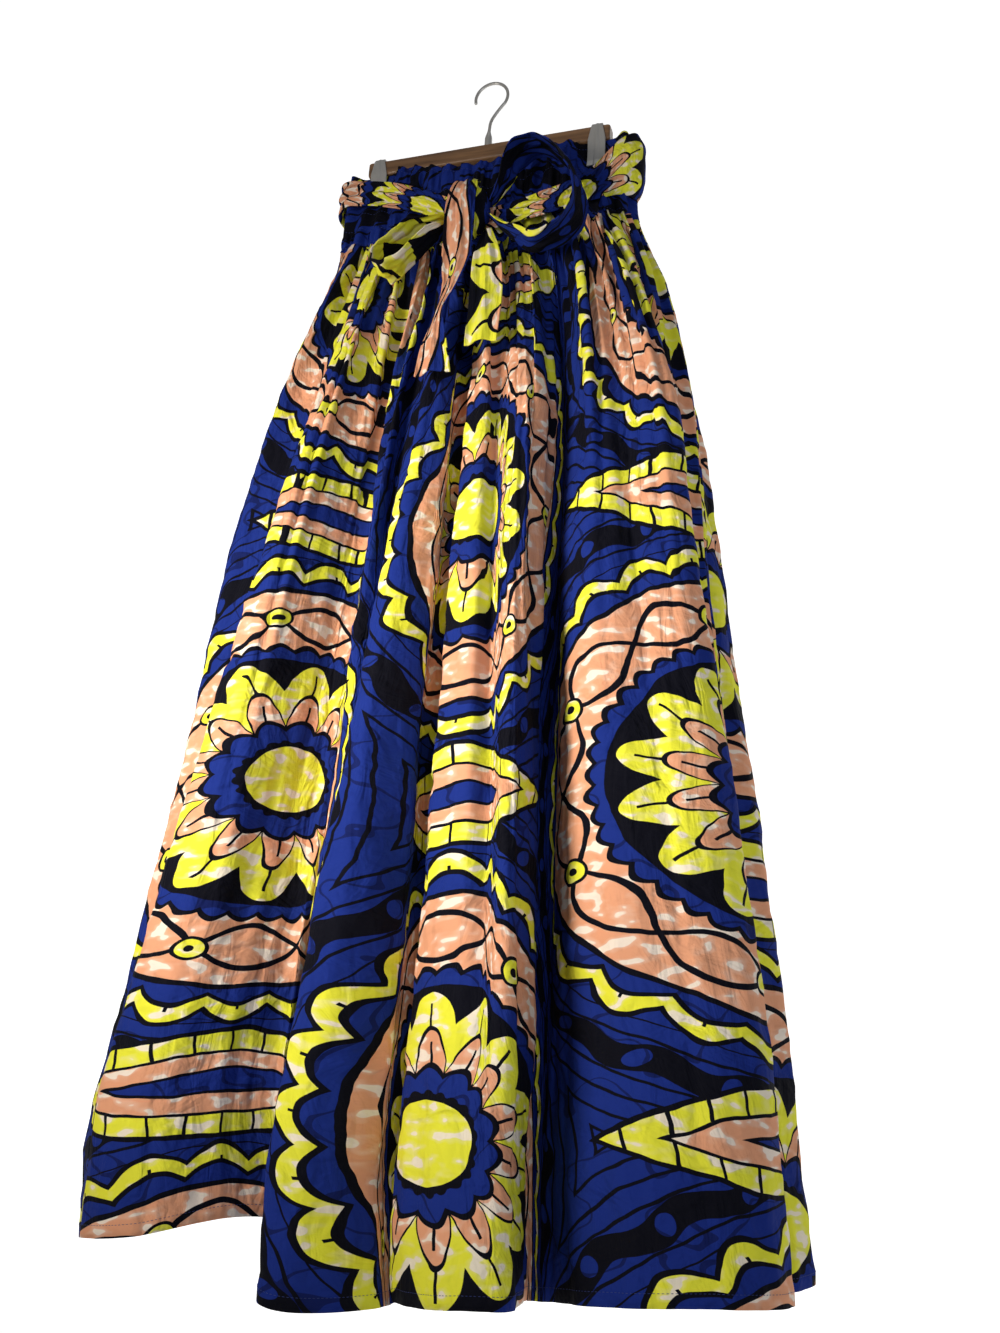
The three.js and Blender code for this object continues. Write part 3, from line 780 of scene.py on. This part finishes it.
# A hanging tail: soft folds run down it, and the free end hangs a little uneven
def tailPiece(name, rows, uvStart, uvWide, material, seed):
    v = np.linspace(0, 1, 121)
    middle, wide, lean = stripMiddle(rows, v)
    u, vv = np.meshgrid(np.linspace(0, 1, 41), v)
    fold = 2.2 * np.cos(3 * math.pi * u + 2 * vv) * wide[:, None] / 30
    small = crest(3.1 * u + 0.5 * np.sin(5 * vv + seed))
    fold = fold + 0.8 * small * np.sin(math.pi * vv) ** 0.5
    side = wide[:, None] * (u - 0.5)
    edge = -2 * np.cos(5 * u) * vv - 0.5 * np.sin(13 * u + seed) * smooth(0.9, 1, vv)
    points = np.repeat(middle[:, None], 41, 1)
    points[..., 0] += side * np.cos(lean)[:, None]
    points[..., 1] += side * np.sin(lean)[:, None] - fold
    points[..., 2] += edge
    grain = millimetre * min(1, uvWide / 0.07)
    down = np.repeat(runLength(middle)[:, None], 41, 1) * grain
    uv = np.stack([uvStart[0] + u * uvWide, uvStart[1] - down], -1)
    return shellMesh(name, points, sashSizes["thick"], uv, material)


# The knot: a lump of cloth wound up and down, with deep uneven folds
def knotPiece(name, material):
    size = knotSize
    rings, around = 49, 120
    polars = np.linspace(0.02, math.pi - 0.02, rings)
    polar, turn = np.meshgrid(polars, np.linspace(0, 2 * math.pi, around + 1))
    x, y, z = np.sin(polar) * np.cos(turn), np.sin(polar) * np.sin(turn), np.cos(polar)
    strand = x + 0.16 * z + 0.05 * np.sin(4 * z)
    deep, shallow = np.cos(8.6 * strand + 0.7) ** 4, np.cos(19 * strand + 2 * z) ** 2
    groove = 1 - 0.075 * deep - 0.03 * shallow
    halves = [x * size["halfX"], y * size["halfY"], z * size["halfZ"]]
    local = (np.stack(halves, -1) * groove[..., None])[:-1].reshape(-1, 3)
    depth = float(frontFace(np.array(float(size["drop"])))) - size["off"]
    centre = np.array([size["x"], depth, skirtSize["waistTopZ"] - size["drop"]])
    grid = np.arange(around * rings).reshape(around, rings)
    after = np.roll(grid, -1, axis=0)
    faces = np.stack([grid[:, :-1], grid[:, 1:], after[:, 1:], after[:, :-1]], -1)
    faces = faces.reshape(-1, 4).tolist() + [grid[:, 0].tolist(), grid[::-1, -1].tolist()]
    uv = np.array([0.41, -0.2]) + local[:, [0, 2]] * millimetre * 1.6
    return meshPiece(name, (local + centre) * millimetre, faces, material, uv)


# Materials

# Wax print: round flowers in two staggered columns on a cobalt ground. Sizes are in metres
# of cut cloth
printSizes = {
    "across": 1.12,
    "down": 0.66,
    "firstX": 0.30,
    "firstY": -0.20,
    "flower": 0.268,
    "ink": 0.0052,
    "fineLine": 0.0013,
    "wobble": 0.006,
    "echoApart": 0.0085,
    "bandAt": 0.302,
    "bandHalf": 0.0115,
    "bandBead": 0.0078,
    "leafBend": 1.45,
    "garlandAt": 0.189,
    "garlandSway": 0.022,
    "beadAt": 0.193,
}
dyes = {
    "cobalt": "#0b287f",
    "navy": "#091240",
    "ink": "#0a0b16",
    "lemon": "#eae92b",
    "peach": "#e5a078",
    "wax": "#f4e8d8",
}
# Rings of the flower from the outside in: outer radius, petals round it, how deep they cut,
# and the dye
flowerRings = (
    (0.268, 30, 0.017, "lemon"),
    (0.248, 30, 0.013, "cobalt"),
    (0.232, 0, 0.0, "ink"),
    (0.227, 0, 0.0, "peach"),
    (0.158, 44, 0.007, "cobalt"),
    (0.144, 0, 0.0, "ink"),
    (0.139, 14, 0.034, "lemon"),
    (0.1, 14, 0.042, "peach"),
    (0.066, 14, 0.010, "cobalt"),
    (0.046, 22, 0.004, "ink"),
    (0.038, 0, 0.0, "lemon"),
)
# Lines of a leaf and of a garland's bead, from the outside in
leafLines = (
    (0.055, "ink"),
    (0.05, "lemon"),
    (0.032, "ink"),
    (0.029, "peach"),
    (0.013, "ink"),
    (0.01, "cobalt"),
)
beadLines = ((0.0135, "ink"), (0.0105, "lemon"), (0.004, "ink"))
clothRoughness = 0.86
threadApart = 0.0007


# A new material with its node tree and shader
def newMaterial(name):
    material = bpy.data.materials.new(name)
    material.use_nodes = True
    return material, material.node_tree, material.node_tree.nodes["Principled BSDF"]


# Printed plain-weave cotton: matt, with crisp inked outlines, pale wax marks, uneven dye
# and soft crumples that catch the light
def waxPrint(name):
    material, tree, shader = newMaterial(name)
    node = partial(addNode, tree)
    size = printSizes
    place = node("UVMap", settings={"uv_map": "UVMap"})
    ripple = node("TexNoise", place, Scale=22.0, Detail=2.0)
    centred = node("VectorMath.SUBTRACT", ripple.outputs["Color"], (0.5, 0.5, 0.5))
    where = node("VectorMath.ADD", place, node("VectorMath.SCALE", centred, size["wobble"] * 2))
    across, down, firstX, firstY = (size[key] for key in ("across", "down", "firstX", "firstY"))

    # Way and distance to the nearest of two staggered columns of points
    def nearest(startX, startY):
        high = (across / 2, down / 2, 1)
        low = (-across / 2, -down / 2, -1)
        found = []
        for offset in ((startX, startY, 0), (startX + across / 2, startY + down / 2, 0)):
            local = node("VectorMath.SUBTRACT", where, offset)
            wrapped = node("VectorMath.WRAP", local, high, low)
            found.append((wrapped, node("VectorMath.LENGTH", wrapped)))
        second = node("Math.LESS_THAN", found[1][1], found[0][1])
        vector = node("Mix.VECTOR", second, found[0][0], found[1][0])
        return vector, node("Math.MINIMUM", found[0][1], found[1][1])

    # Lays a dye over the colours below where a distance is under a limit
    def dyeWithin(below, distance, limit, laid):
        return node("Mix.RGBA", node("Math.LESS_THAN", distance, limit), below, laid)

    # Way to the nearest of some beads spaced evenly on a ring, given how far off the ring
    def fromBeads(count, ring, off):
        half = ring * math.pi / count
        step = node("Math.WRAP", node("Math.MULTIPLY", angle, ring), half, -half)
        return node("VectorMath.LENGTH", node("CombineXYZ", step, off))

    toFlower, radius = nearest(firstX, firstY)
    parts = node("SeparateXYZ", toFlower)
    angle = node("Math.ARCTAN2", parts.outputs[1], parts.outputs[0])

    # Pale marks of 12 to 16 mm where the wax cracked, in a faint haze
    blotch = node("Mapping", where, Scale=(62, 84, 1))
    waxNoise = node("TexNoise", blotch, Scale=1.0, Detail=1.0, Roughness=0.4)
    soft = {"interpolation_type": "SMOOTHSTEP"}
    waxMarks = node("MapRange", waxNoise, settings=soft, From_Min=0.575, From_Max=0.62)
    waxHaze = node("MapRange", waxNoise, From_Min=0.48, From_Max=0.58, To_Max=0.22)
    waxMarks = node("Math.MAXIMUM", node("Math.MULTIPLY", waxMarks, 0.92), waxHaze)
    veinNoise = node("TexNoise", where, Scale=19.0, Detail=1.0)
    veins = node("Math.MULTIPLY", node("Math.COMPARE", veinNoise, 0.5, 0.012), 0.7)
    dye = {key: linear(value) for key, value in dyes.items()}
    paint = {
        "peach": node("Mix.RGBA", waxMarks, dye["peach"], dye["wax"]),
        "lemon": node("Mix.RGBA", waxMarks, dye["lemon"], dye["wax"]),
        "cobalt": node("Mix.RGBA", veins, dye["cobalt"], dye["navy"]),
        "ink": dye["ink"],
    }

    # Ground: echo lines round each flower, and a dark band with beads
    outside = node("Math.SUBTRACT", radius, size["flower"])
    echo = node("Math.PINGPONG", outside, size["echoApart"])
    onGround = node("Math.GREATER_THAN", radius, size["flower"])
    echoLine = node("Math.MULTIPLY", node("Math.LESS_THAN", echo, 0.0014), onGround)
    colour = node("Mix.RGBA", echoLine, paint["cobalt"], dye["ink"])
    ripples = node("Math.SINE", node("Math.MULTIPLY", angle, 30.0))
    bandEdge = node("Math.MULTIPLY_ADD", ripples, 0.004, radius)
    band = node("Math.COMPARE", bandEdge, size["bandAt"], size["bandHalf"])
    colour = node("Mix.RGBA", band, colour, dye["ink"])
    offBand = node("Math.SUBTRACT", bandEdge, size["bandAt"])
    fromBead = fromBeads(30, size["bandAt"], offBand)
    colour = dyeWithin(colour, fromBead, size["bandBead"], paint["cobalt"])

    # Leaves between the flowers, with ribs across their lemon edge
    toLeaf, _ = nearest(firstX, firstY + down / 2)
    leaf = node("SeparateXYZ", toLeaf)
    squared = node("Math.MULTIPLY", leaf.outputs[0], leaf.outputs[0])
    bend = node("Math.MULTIPLY", squared, size["leafBend"])
    leafEdge = node("Math.ADD", node("Math.ABSOLUTE", leaf.outputs[1]), bend)
    for edge, inside in leafLines:
        colour = dyeWithin(colour, leafEdge, edge, paint[inside])
        if inside == "lemon":
            fromRib = node("Math.PINGPONG", leaf.outputs[0], 0.014)
            rib = node("Math.LESS_THAN", fromRib, size["fineLine"])
            rib = node("Math.MULTIPLY", rib, node("Math.LESS_THAN", leafEdge, edge))
            colour = node("Mix.RGBA", rib, colour, dye["ink"])

    # Rings, each over a line of ink
    for outer, petals, depth, inside in flowerRings:
        reach = radius
        if petals:
            petalTurn = node("Math.MULTIPLY", angle, petals / 2)
            scallop = node("Math.ABSOLUTE", node("Math.SINE", petalTurn))
            cutIn = node("Math.SUBTRACT", 1.0, scallop)
            reach = node("Math.MULTIPLY_ADD", cutIn, depth, radius)
        if inside != "ink":
            colour = dyeWithin(colour, reach, outer + size["ink"], dye["ink"])
        colour = dyeWithin(colour, reach, outer, paint[inside])
        if petals and depth > 0.015:
            # A vein down the middle of each petal
            fromVein = node("Math.ABSOLUTE", node("Math.COSINE", petalTurn))
            arc = node("Math.MULTIPLY", node("Math.MULTIPLY", fromVein, radius), 2 / petals)
            inPetal = node("Math.LESS_THAN", reach, outer - 0.011)
            vein = node("Math.LESS_THAN", arc, size["fineLine"])
            colour = node("Mix.RGBA", node("Math.MULTIPLY", vein, inPetal), colour, dye["ink"])
        if inside == "peach":
            # A garland of two waving lines with beads
            for phase in (0.0, math.pi):
                sway = node("Math.SINE", node("Math.MULTIPLY_ADD", angle, 7.0, phase))
                line = node("Math.MULTIPLY_ADD", sway, size["garlandSway"], size["garlandAt"])
                apart = node("Math.ABSOLUTE", node("Math.SUBTRACT", radius, line))
                colour = dyeWithin(colour, apart, 0.003, dye["ink"])
            offRing = node("Math.SUBTRACT", radius, size["beadAt"])
            fromBead = fromBeads(7, size["beadAt"], offRing)
            for reachOut, within in beadLines:
                colour = dyeWithin(colour, fromBead, reachOut, paint[within])

    # Uneven dye and slight fading
    fade = node("TexNoise", place, Scale=9.0, Detail=3.0)
    value = node("Math.MULTIPLY_ADD", fade, 0.22, 0.9)
    faded = node("HueSaturation", Saturation=0.97, Value=value, Color=colour)
    feed(tree, shader.inputs["Base Color"], faded)
    # Weave is 0.3 mm a thread; drawn at 0.7 mm so that it doesn't shimmer
    thread = node("Mapping", place, Scale=(2 * math.pi / threadApart,) * 3)
    threads = node("SeparateXYZ", thread)
    warp, weft = (node("Math.SINE", threads.outputs[i]) for i in (0, 1))
    weave = node("Math.MULTIPLY", warp, weft)
    crumple = node("TexNoise", place, Scale=55.0, Detail=4.0, Roughness=0.6)
    crush = node("TexNoise", place, Scale=22.0, Detail=3.0, Distortion=0.9)
    stretched = node("Mapping", place, Scale=(60, 14, 1))
    pulls = node("TexNoise", stretched, Scale=1.0, Detail=3.0, Distortion=1.2)
    below = {}
    for height, strength, distance in (
        (crush, 0.9, 0.008),
        (pulls, 0.8, 0.005),
        (crumple, 0.6, 0.0018),
        (weave, 0.18, 0.0002),
    ):
        bump = node("Bump", Strength=strength, Distance=distance, Height=height, **below)
        below = {"Normal": bump}
    feed(tree, shader.inputs["Normal"], bump)
    dull = node("Math.MULTIPLY_ADD", crumple, 0.12, clothRoughness - 0.06)
    feed(tree, shader.inputs["Roughness"], dull)
    shader.inputs["Specular IOR Level"].default_value = 0.1
    return material


# A plain finish, a little cloudy in colour and gloss as handling leaves it
def plainMaterial(name, colour, roughness, metallic=0.0):
    material, tree, shader = newMaterial(name)
    place = addNode(tree, "TexCoord").outputs["Object"]
    noise = addNode(tree, "TexNoise", place, Scale=60.0, Detail=4.0)
    darker = [c * 0.8 for c in linear(colour)[:3]] + [1]
    cloudy = addNode(tree, "Mix.RGBA", noise, linear(colour), darker)
    feed(tree, shader.inputs["Base Color"], cloudy)
    dull = addNode(tree, "Math.MULTIPLY_ADD", noise, 0.15, roughness - 0.07)
    feed(tree, shader.inputs["Roughness"], dull)
    shader.inputs["Metallic"].default_value = metallic
    return material


# Stained hardwood, planed and varnished: fine dark grain along X, 7 mm streaks, soft gloss
def woodMaterial(name):
    material, tree, shader = newMaterial(name)
    node = partial(addNode, tree)
    along = node("Mapping", node("TexCoord").outputs["Object"], Scale=(9, 150, 150))
    grain = node("TexNoise", along, Scale=1.0, Detail=6.0, Roughness=0.6, Distortion=0.4)
    depth = node("MapRange", grain, From_Min=0.3, From_Max=0.7)
    stain = node("Mix.RGBA", depth, linear("#5d422d"), linear("#97714c"))
    feed(tree, shader.inputs["Base Color"], stain)
    pores = node("Bump", Strength=0.25, Distance=0.0005, Height=grain)
    feed(tree, shader.inputs["Normal"], pores)
    shader.inputs["Roughness"].default_value = 0.42
    shader.inputs["Coat Weight"].default_value = 0.15
    return material


skirtCloth = waxPrint("wax print cotton, skirt")
waistCloth = waxPrint("wax print cotton, waist")
sashCloth = waxPrint("wax print cotton, sash")
barWood = woodMaterial("stained hardwood")
# Plated pressed steel and wire: a pale grey shine, slightly dulled
hangerMetal = plainMaterial("plated steel", "#d6d4cf", 0.3, 0.6)
print("materials built")

# Build the pieces

pieces = []
grids = {}
for name, front, node in (("skirtFront", 1, "skirt_front"), ("skirtBack", -1, "skirt_back")):
    piece, grids[name] = skirtPanel(name, front, skirtCloth)
    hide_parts(node)
    pieces.append(piece)
for name, front, node in (
    ("waistFront", 1, "waistband_front"),
    ("waistBack", -1, "waistband_back"),
):
    piece, grids[name] = casing(name, front, waistCloth)
    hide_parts(node)
    pieces.append(piece)
# Each bow piece starts at a place on the print, which the strip then runs along
sash = sashPiece("sashStretch", sashCloth)
knot = knotPiece("bowKnot", sashCloth)
loopLeft = loopPiece("bowLoopLeft", leftLoop, (0.17, -0.13), (0, -0.55), sashCloth, 1.0)
loopRight = loopPiece("bowLoopRight", rightLoop, (0.545, -0.25), (0, -1), sashCloth, 2.2)
tailLeft = tailPiece("bowTailLeft", leftTail, (0.462, -0.08), 0.07, sashCloth, 0.4)
tailRight = tailPiece("bowTailRight", rightTail, (0.168, -0.14), 0.045, sashCloth, 1.7)
for piece, node in (
    (sash, "sash"),
    (knot, "bow_knot"),
    (loopLeft, "bow_loop_left"),
    (loopRight, "bow_loop_right"),
    (tailLeft, "bow_tail_left"),
    (tailRight, "bow_tail_right"),
):
    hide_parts(node)
    pieces.append(piece)
for piece in pieces:
    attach(piece, "root")
print("pieces built")

# Hanger, in millimetres

hangerSizes = {
    "barTop": -78,
    "barTall": 18,
    "barDeep": 15,
    "barLong": 262,
    "barCorner": 3.2,
    "inside": 16,
    "wire": 3.4,
    "collar": 4.0,
    "clipWide": 18,
    "clipTopShare": 0.62,
    "clipRib": 0.7,
    "clipEdge": 0.35,
}


# A closed piece through rings of points in millimetres, capped flat at both ends
def loft(name, rings, material):
    rings = np.array(rings)
    count, around = rings.shape[:2]
    grid = np.arange(count * around).reshape(count, around)
    beside = np.roll(grid, -1, axis=1)
    faces = np.stack([grid[:-1], beside[:-1], beside[1:], grid[1:]], -1).reshape(-1, 4).tolist()
    faces += [grid[0, ::-1].tolist(), grid[-1].tolist()]
    piece = meshPiece(name, rings.reshape(-1, 3) * millimetre, faces, material)
    for end in (-2, -1):
        piece.data.polygons[end].use_smooth = False
    return piece


# The wooden bar, with rounded edges and softened ends
def barPiece():
    size = hangerSizes
    half, tall, corner = size["barDeep"] / 2, size["barTall"] / 2, size["barCorner"]
    section = []
    for middleY, middleZ, start in ((1, 1, 0), (-1, 1, 75), (-1, -1, 180), (1, -1, 270)):
        for a in np.radians(range(start, start + 91, 15)):
            y = middleY * (half - corner) + corner * math.cos(a)
            section.append((y, middleZ * (tall - corner) + corner * math.sin(a)))
    section = np.array(section)
    end = size["barLong"] / 2
    stops = [(-end, 0.8), (-end + 0.5, 0.9), (-end + 1.5, 0.97), (-end + 3, 1)]
    stops += [(x, 1) for x in np.linspace(-end + 12, end - 12, 9)]
    stops += [(-x, scale) for x, scale in stops[3::-1]]
    middle = size["barTop"] - tall
    rings = []
    for x, scale in stops:
        y, z = section[:, 0] * scale, middle + section[:, 1] * scale
        rings.append(np.column_stack([np.full(len(section), x), y, z]))
    return loft("hangerBar", rings, barWood)


# The wire hook with a rounded tip and a collar where it enters the bar
def hookPiece():
    size = hangerSizes
    bend = size["inside"] + size["wire"] / 2
    knots = [(0, size["barTop"] + 0.3), (0, -56), (1.6, -45)]
    for a in np.radians(range(-48, 197, 16)):
        knots.append((bend * math.cos(a), -size["inside"] + bend * math.sin(a)))
    flat = np.array(knots)
    bends = np.column_stack([flat[:, 0], 0 * flat[:, 0], flat[:, 1]])
    path = centripetal(bends, np.linspace(0, 1, 150))
    ahead = np.gradient(path, axis=0)
    ahead /= np.linalg.norm(ahead, axis=1, keepdims=True)
    across = np.array([0.0, 1.0, 0.0])
    radius = np.full(len(path), size["wire"] / 2)
    radius[:5] = size["collar"]
    radius[5:8] = (3.4, 2.6, 2.0)
    turns = np.linspace(0, 2 * math.pi, 17)[:-1]
    centres, sizes = list(path), list(radius)
    for step in (0.35, 0.65, 0.87, 0.98):
        centres.append(path[-1] + ahead[-1] * radius[-1] * step)
        sizes.append(radius[-1] * math.sqrt(1 - step**2))
    rings = []
    for i, (centre, r) in enumerate(zip(centres, sizes)):
        side = np.cross(across, ahead[min(i, len(path) - 1)])
        rings.append([centre + r * (math.cos(t) * across + math.sin(t) * side) for t in turns])
    return loft("hangerHook", np.array(rings)[:, ::-1], hangerMetal)


# The evaluated mesh of a piece takes the place of its own, and its modifiers go
def applyModifiers(piece):
    seen = piece.evaluated_get(bpy.context.evaluated_depsgraph_get())
    made = bpy.data.meshes.new_from_object(seen)
    piece.modifiers.clear()
    piece.data = made
    return made


# A spring clip bent from one strip: narrower over the bar, with a pressed rib and softened
# edges
def clipPiece(name, middleX):
    size = hangerSizes
    top, waist = size["barTop"], skirtSize["waistTopZ"]
    foot = top - size["barTall"]
    outer = [(-2, top + 2.6), (-7, top + 1.6), (-9, top - 2), (-9, foot + 1)]
    outer += [(-7.1, waist - 9), (-7.1, waist - 21), (-9, waist - 28)]
    inner = [(y + 0.6, z - 1.2) for y, z in outer[:2]] + [(y + 1.2, z - 0.2) for y, z in outer[2:]]
    corners = outer[::-1] + [(-y, z) for y, z in outer]
    corners += [(-y, z) for y, z in inner][::-1] + inner
    ribShape = ((1, 0), (0.3, 0), (0.12, 1), (-0.12, 1), (-0.3, 0), (-1, 0))
    rings = []
    for across, raised in ribShape:
        ring = []
        for y, z in corners:
            share = mix(size["clipTopShare"], 1, float(smooth(top + 2, waist, z)))
            x = middleX + across * size["clipWide"] / 2 * share
            ring.append((x, y + math.copysign(raised * size["clipRib"], y), z))
        rings.append(ring)
    piece = loft(name, rings, hangerMetal)
    bevel = piece.modifiers.new("softened edges", "BEVEL")
    bevel.width = size["clipEdge"] * millimetre
    bevel.segments = 2
    bevel.limit_method = "ANGLE"
    made = applyModifiers(piece)
    made.polygons.foreach_set("use_smooth", np.zeros(len(made.polygons), bool))
    return piece


for piece, node, slotName in (
    (barPiece(), "hanger_bar", "bar_wood"),
    (hookPiece(), "hanger_hook", "hanger_metal"),
    (clipPiece("clipLeft", -skirtSize["clipX"]), "clip_left", "hanger_metal"),
    (clipPiece("clipRight", skirtSize["clipX"]), "clip_right", "hanger_metal"),
):
    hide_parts(node)
    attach(piece, "root")
print("hanger built")

# Stitches, in millimetres

stitchSizes = {"step": 3.1, "long": 2.1, "wide": 0.42, "hemUp": 12.5, "proud": 0.25}


# Geometry nodes that lay a stitch, a small long ball, at each step along a line
def stitchNodes():
    group = bpy.data.node_groups.new("stitches", "GeometryNodeTree")
    node = partial(addNode, group)
    face = group.interface
    face.new_socket("Line", in_out="INPUT", socket_type="NodeSocketGeometry")
    for name in ("Step", "Long", "Wide"):
        face.new_socket(name, in_out="INPUT", socket_type="NodeSocketFloat")
    face.new_socket("Thread", in_out="INPUT", socket_type="NodeSocketMaterial")
    face.new_socket("Geometry", in_out="OUTPUT", socket_type="NodeSocketGeometry")
    given = node("NodeGroupInput").outputs
    curve = node("GeometryNodeMeshToCurve", given["Line"])
    evenly = {"mode": "LENGTH"}
    stops = node("GeometryNodeResampleCurve", settings=evenly, Curve=curve, Length=given["Step"])
    ball = node("GeometryNodeMeshUVSphere", Segments=6, Rings=4, Radius=0.5)
    ahead = node("GeometryNodeInputTangent")
    turn = node("FunctionNodeAlignRotationToVector", settings={"axis": "Z"}, Vector=ahead)
    size = node("CombineXYZ", given["Wide"], given["Wide"], given["Long"])
    form = {"Points": stops, "Instance": ball, "Rotation": turn, "Scale": size}
    real = node("GeometryNodeRealizeInstances", node("GeometryNodeInstanceOnPoints", **form))
    dyed = node("GeometryNodeSetMaterial", Geometry=real, Material=given["Thread"])
    node("NodeGroupOutput", dyed)
    return group


# Stitches along one or more lines of points in millimetres
def stitchLine(name, lines, group, thread):
    vertices, edges = [], []
    for line in lines:
        first = len(vertices)
        vertices += (line * millimetre).tolist()
        edges += [(first + i, first + i + 1) for i in range(len(line) - 1)]
    mesh = bpy.data.meshes.new(name)
    mesh.from_pydata(vertices, edges, [])
    piece = newObject(name, mesh)
    modifier = piece.modifiers.new("stitches", "NODES")
    modifier.node_group = group
    for item in group.interface.items_tree:
        size = stitchSizes.get(item.name.lower())
        if size:
            modifier[item.identifier] = size * millimetre
        elif item.name == "Thread":
            modifier[item.identifier] = thread
    made = applyModifiers(piece)
    made.polygons.foreach_set("use_smooth", np.ones(len(made.polygons), bool))
    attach(piece, "root")


# A line across a grid of points at a row, a little proud of the cloth
def gridLine(points, row):
    return (points[row] + normals(points)[row] * stitchSizes["proud"])[2:-2]


threadGroup = stitchNodes()
# Spun polyester thread: dull and dark blue, so that the stitches read as small ridges
thread = plainMaterial("polyester thread", "#22357a", 0.6)
for name in ("skirtFront", "skirtBack"):
    down = np.linspace(0, 1, panelRows["rows"] + 1) ** panelRows["crowding"]
    drops = mix(skirtSize["casingTall"] + skirtSize["seamGap"] / 2, skirtSize["long"], down)
    row = int(np.argmin(np.abs(drops - (skirtSize["long"] - stitchSizes["hemUp"]))))
    stitchLine(name + "HemStitches", [gridLine(grids[name], row)], threadGroup, thread)
for name in ("waistFront", "waistBack"):
    grid = grids[name]
    perRow = (skirtSize["casingTall"] - skirtSize["seamGap"] / 2) / (len(grid) - 1)
    rows = [round(drop / perRow) for drop in shirring["rows"]]
    stitchLine(name + "Shirring", [gridLine(grid, row) for row in rows], threadGroup, thread)
print("stitches built")

# Studio, in metres

studio = {
    "floorZ": -1.32,
    "frontY": -4.0,
    "deep": 2.6,
    "wide": 7.0,
    "tall": 5.5,
    "bend": 1.4,
    "glowFromY": -0.3,
    "glowToY": 0.6,
    "frontGlow": 0.1,
    "backGlow": 0.95,
    "worldGlow": 0.17,
}
lights = {
    "keyLight": {
        "place": (-0.6, -1.0, -0.66),
        "aim": (0.05, 0, -0.64),
        "size": 0.5,
        "power": 2.6,
        "colour": "#fff6ea",
        "spread": 62,
    },
    "fillLight": {
        "place": (1.1, -1.3, -0.66),
        "aim": (0.05, 0, -0.64),
        "size": 1.0,
        "power": 1.2,
        "colour": "#eef3ff",
        "spread": 75,
    },
    "topLight": {
        "place": (0.2, -0.6, 2.2),
        "aim": (0, 0, -0.6),
        "size": 1.6,
        "power": 1.6,
        "colour": "#ffffff",
        "spread": 180,
    },
}
cameraSizes = {
    "place": (0.401, -1.025, -0.945),
    "yaw": 18.947,
    "pitch": 15.796,
    "roll": 3.648,
    "lens": 33.76,
    "sensor": 36,
}


# A pale sheet that runs along the floor and curves up behind. Its matt paper glows though it is no
# lamp (painted light), strongly behind the skirt, so the background is white while the hem stays
# in soft shade
def studioSheet():
    bend, deep, floor = studio["bend"], studio["deep"], studio["floorZ"]
    profile = [(studio["frontY"], floor), (deep - bend, floor)]
    for a in np.linspace(0, math.pi / 2, 25)[1:]:
        profile.append((deep - bend + bend * math.sin(a), floor + bend - bend * math.cos(a)))
    profile += [(deep, floor + studio["tall"])]
    half = studio["wide"] / 2
    points = [(x, y, z) for y, z in profile for x in (-half, half)]
    faces = [(2 * i, 2 * i + 1, 2 * i + 3, 2 * i + 2) for i in range(len(profile) - 1)]
    paper = plainMaterial("pale glowing paper", "#f4f3f1", 0.9)
    tree = paper.node_tree
    shader = tree.nodes["Principled BSDF"]
    # Painted light: the paper glows by itself, faint in front and strong behind the skirt
    shader.inputs["Emission Color"].default_value = linear("#f6f6f6")
    place = addNode(tree, "SeparateXYZ", addNode(tree, "TexCoord").outputs["Object"])
    soft = {"interpolation_type": "SMOOTHSTEP"}
    fromY = {"From_Min": studio["glowFromY"], "From_Max": studio["glowToY"]}
    glows = {"To_Min": studio["frontGlow"], "To_Max": studio["backGlow"]}
    glow = addNode(tree, "MapRange", place.outputs[1], settings=soft, **fromY, **glows)
    feed(tree, shader.inputs["Emission Strength"], glow)
    return meshPiece("studioSheet", points, faces, paper)


def areaLight(name):
    light = lights[name]
    data = bpy.data.lights.new(name, "AREA")
    data.shape = "DISK"
    data.size = light["size"]
    data.energy = light["power"]
    data.color = linear(light["colour"])[:3]
    data.spread = math.radians(light["spread"])
    lamp = newObject(name, data)
    lamp.location = light["place"]
    facing = Vector(light["aim"]) - Vector(light["place"])
    lamp.rotation_euler = facing.to_track_quat("-Z", "Y").to_euler()
    return lamp


def addCamera():
    yaw, pitch, roll = (math.radians(cameraSizes[key]) for key in ("yaw", "pitch", "roll"))
    level = math.cos(pitch)
    ahead = Vector((-math.sin(yaw) * level, math.cos(yaw) * level, math.sin(pitch)))
    right = Vector((math.cos(yaw), math.sin(yaw), 0))
    up = right.cross(ahead)
    rolledRight = right * math.cos(roll) + up * math.sin(roll)
    rolledUp = up * math.cos(roll) - right * math.sin(roll)
    data = bpy.data.cameras.new("camera")
    data.lens = cameraSizes["lens"]
    data.sensor_fit = "VERTICAL"
    data.sensor_height = cameraSizes["sensor"]
    data.clip_start = 0.02
    camera = newObject("camera", data)
    turn = Matrix((rolledRight, rolledUp, -ahead)).transposed().to_4x4()
    camera.matrix_world = Matrix.Translation(cameraSizes["place"]) @ turn
    bpy.context.scene.camera = camera


bpy.context.scene.view_settings.view_transform = "Standard"
studioSheet()
areaLight("keyLight")
areaLight("fillLight")
areaLight("topLight")
world = bpy.data.worlds.new("studio")
bpy.context.scene.world = world
world.use_nodes = True
background = world.node_tree.nodes["Background"]
background.inputs["Color"].default_value = linear("#f5f6f8")
background.inputs["Strength"].default_value = studio["worldGlow"]
addCamera()
print("studio built")
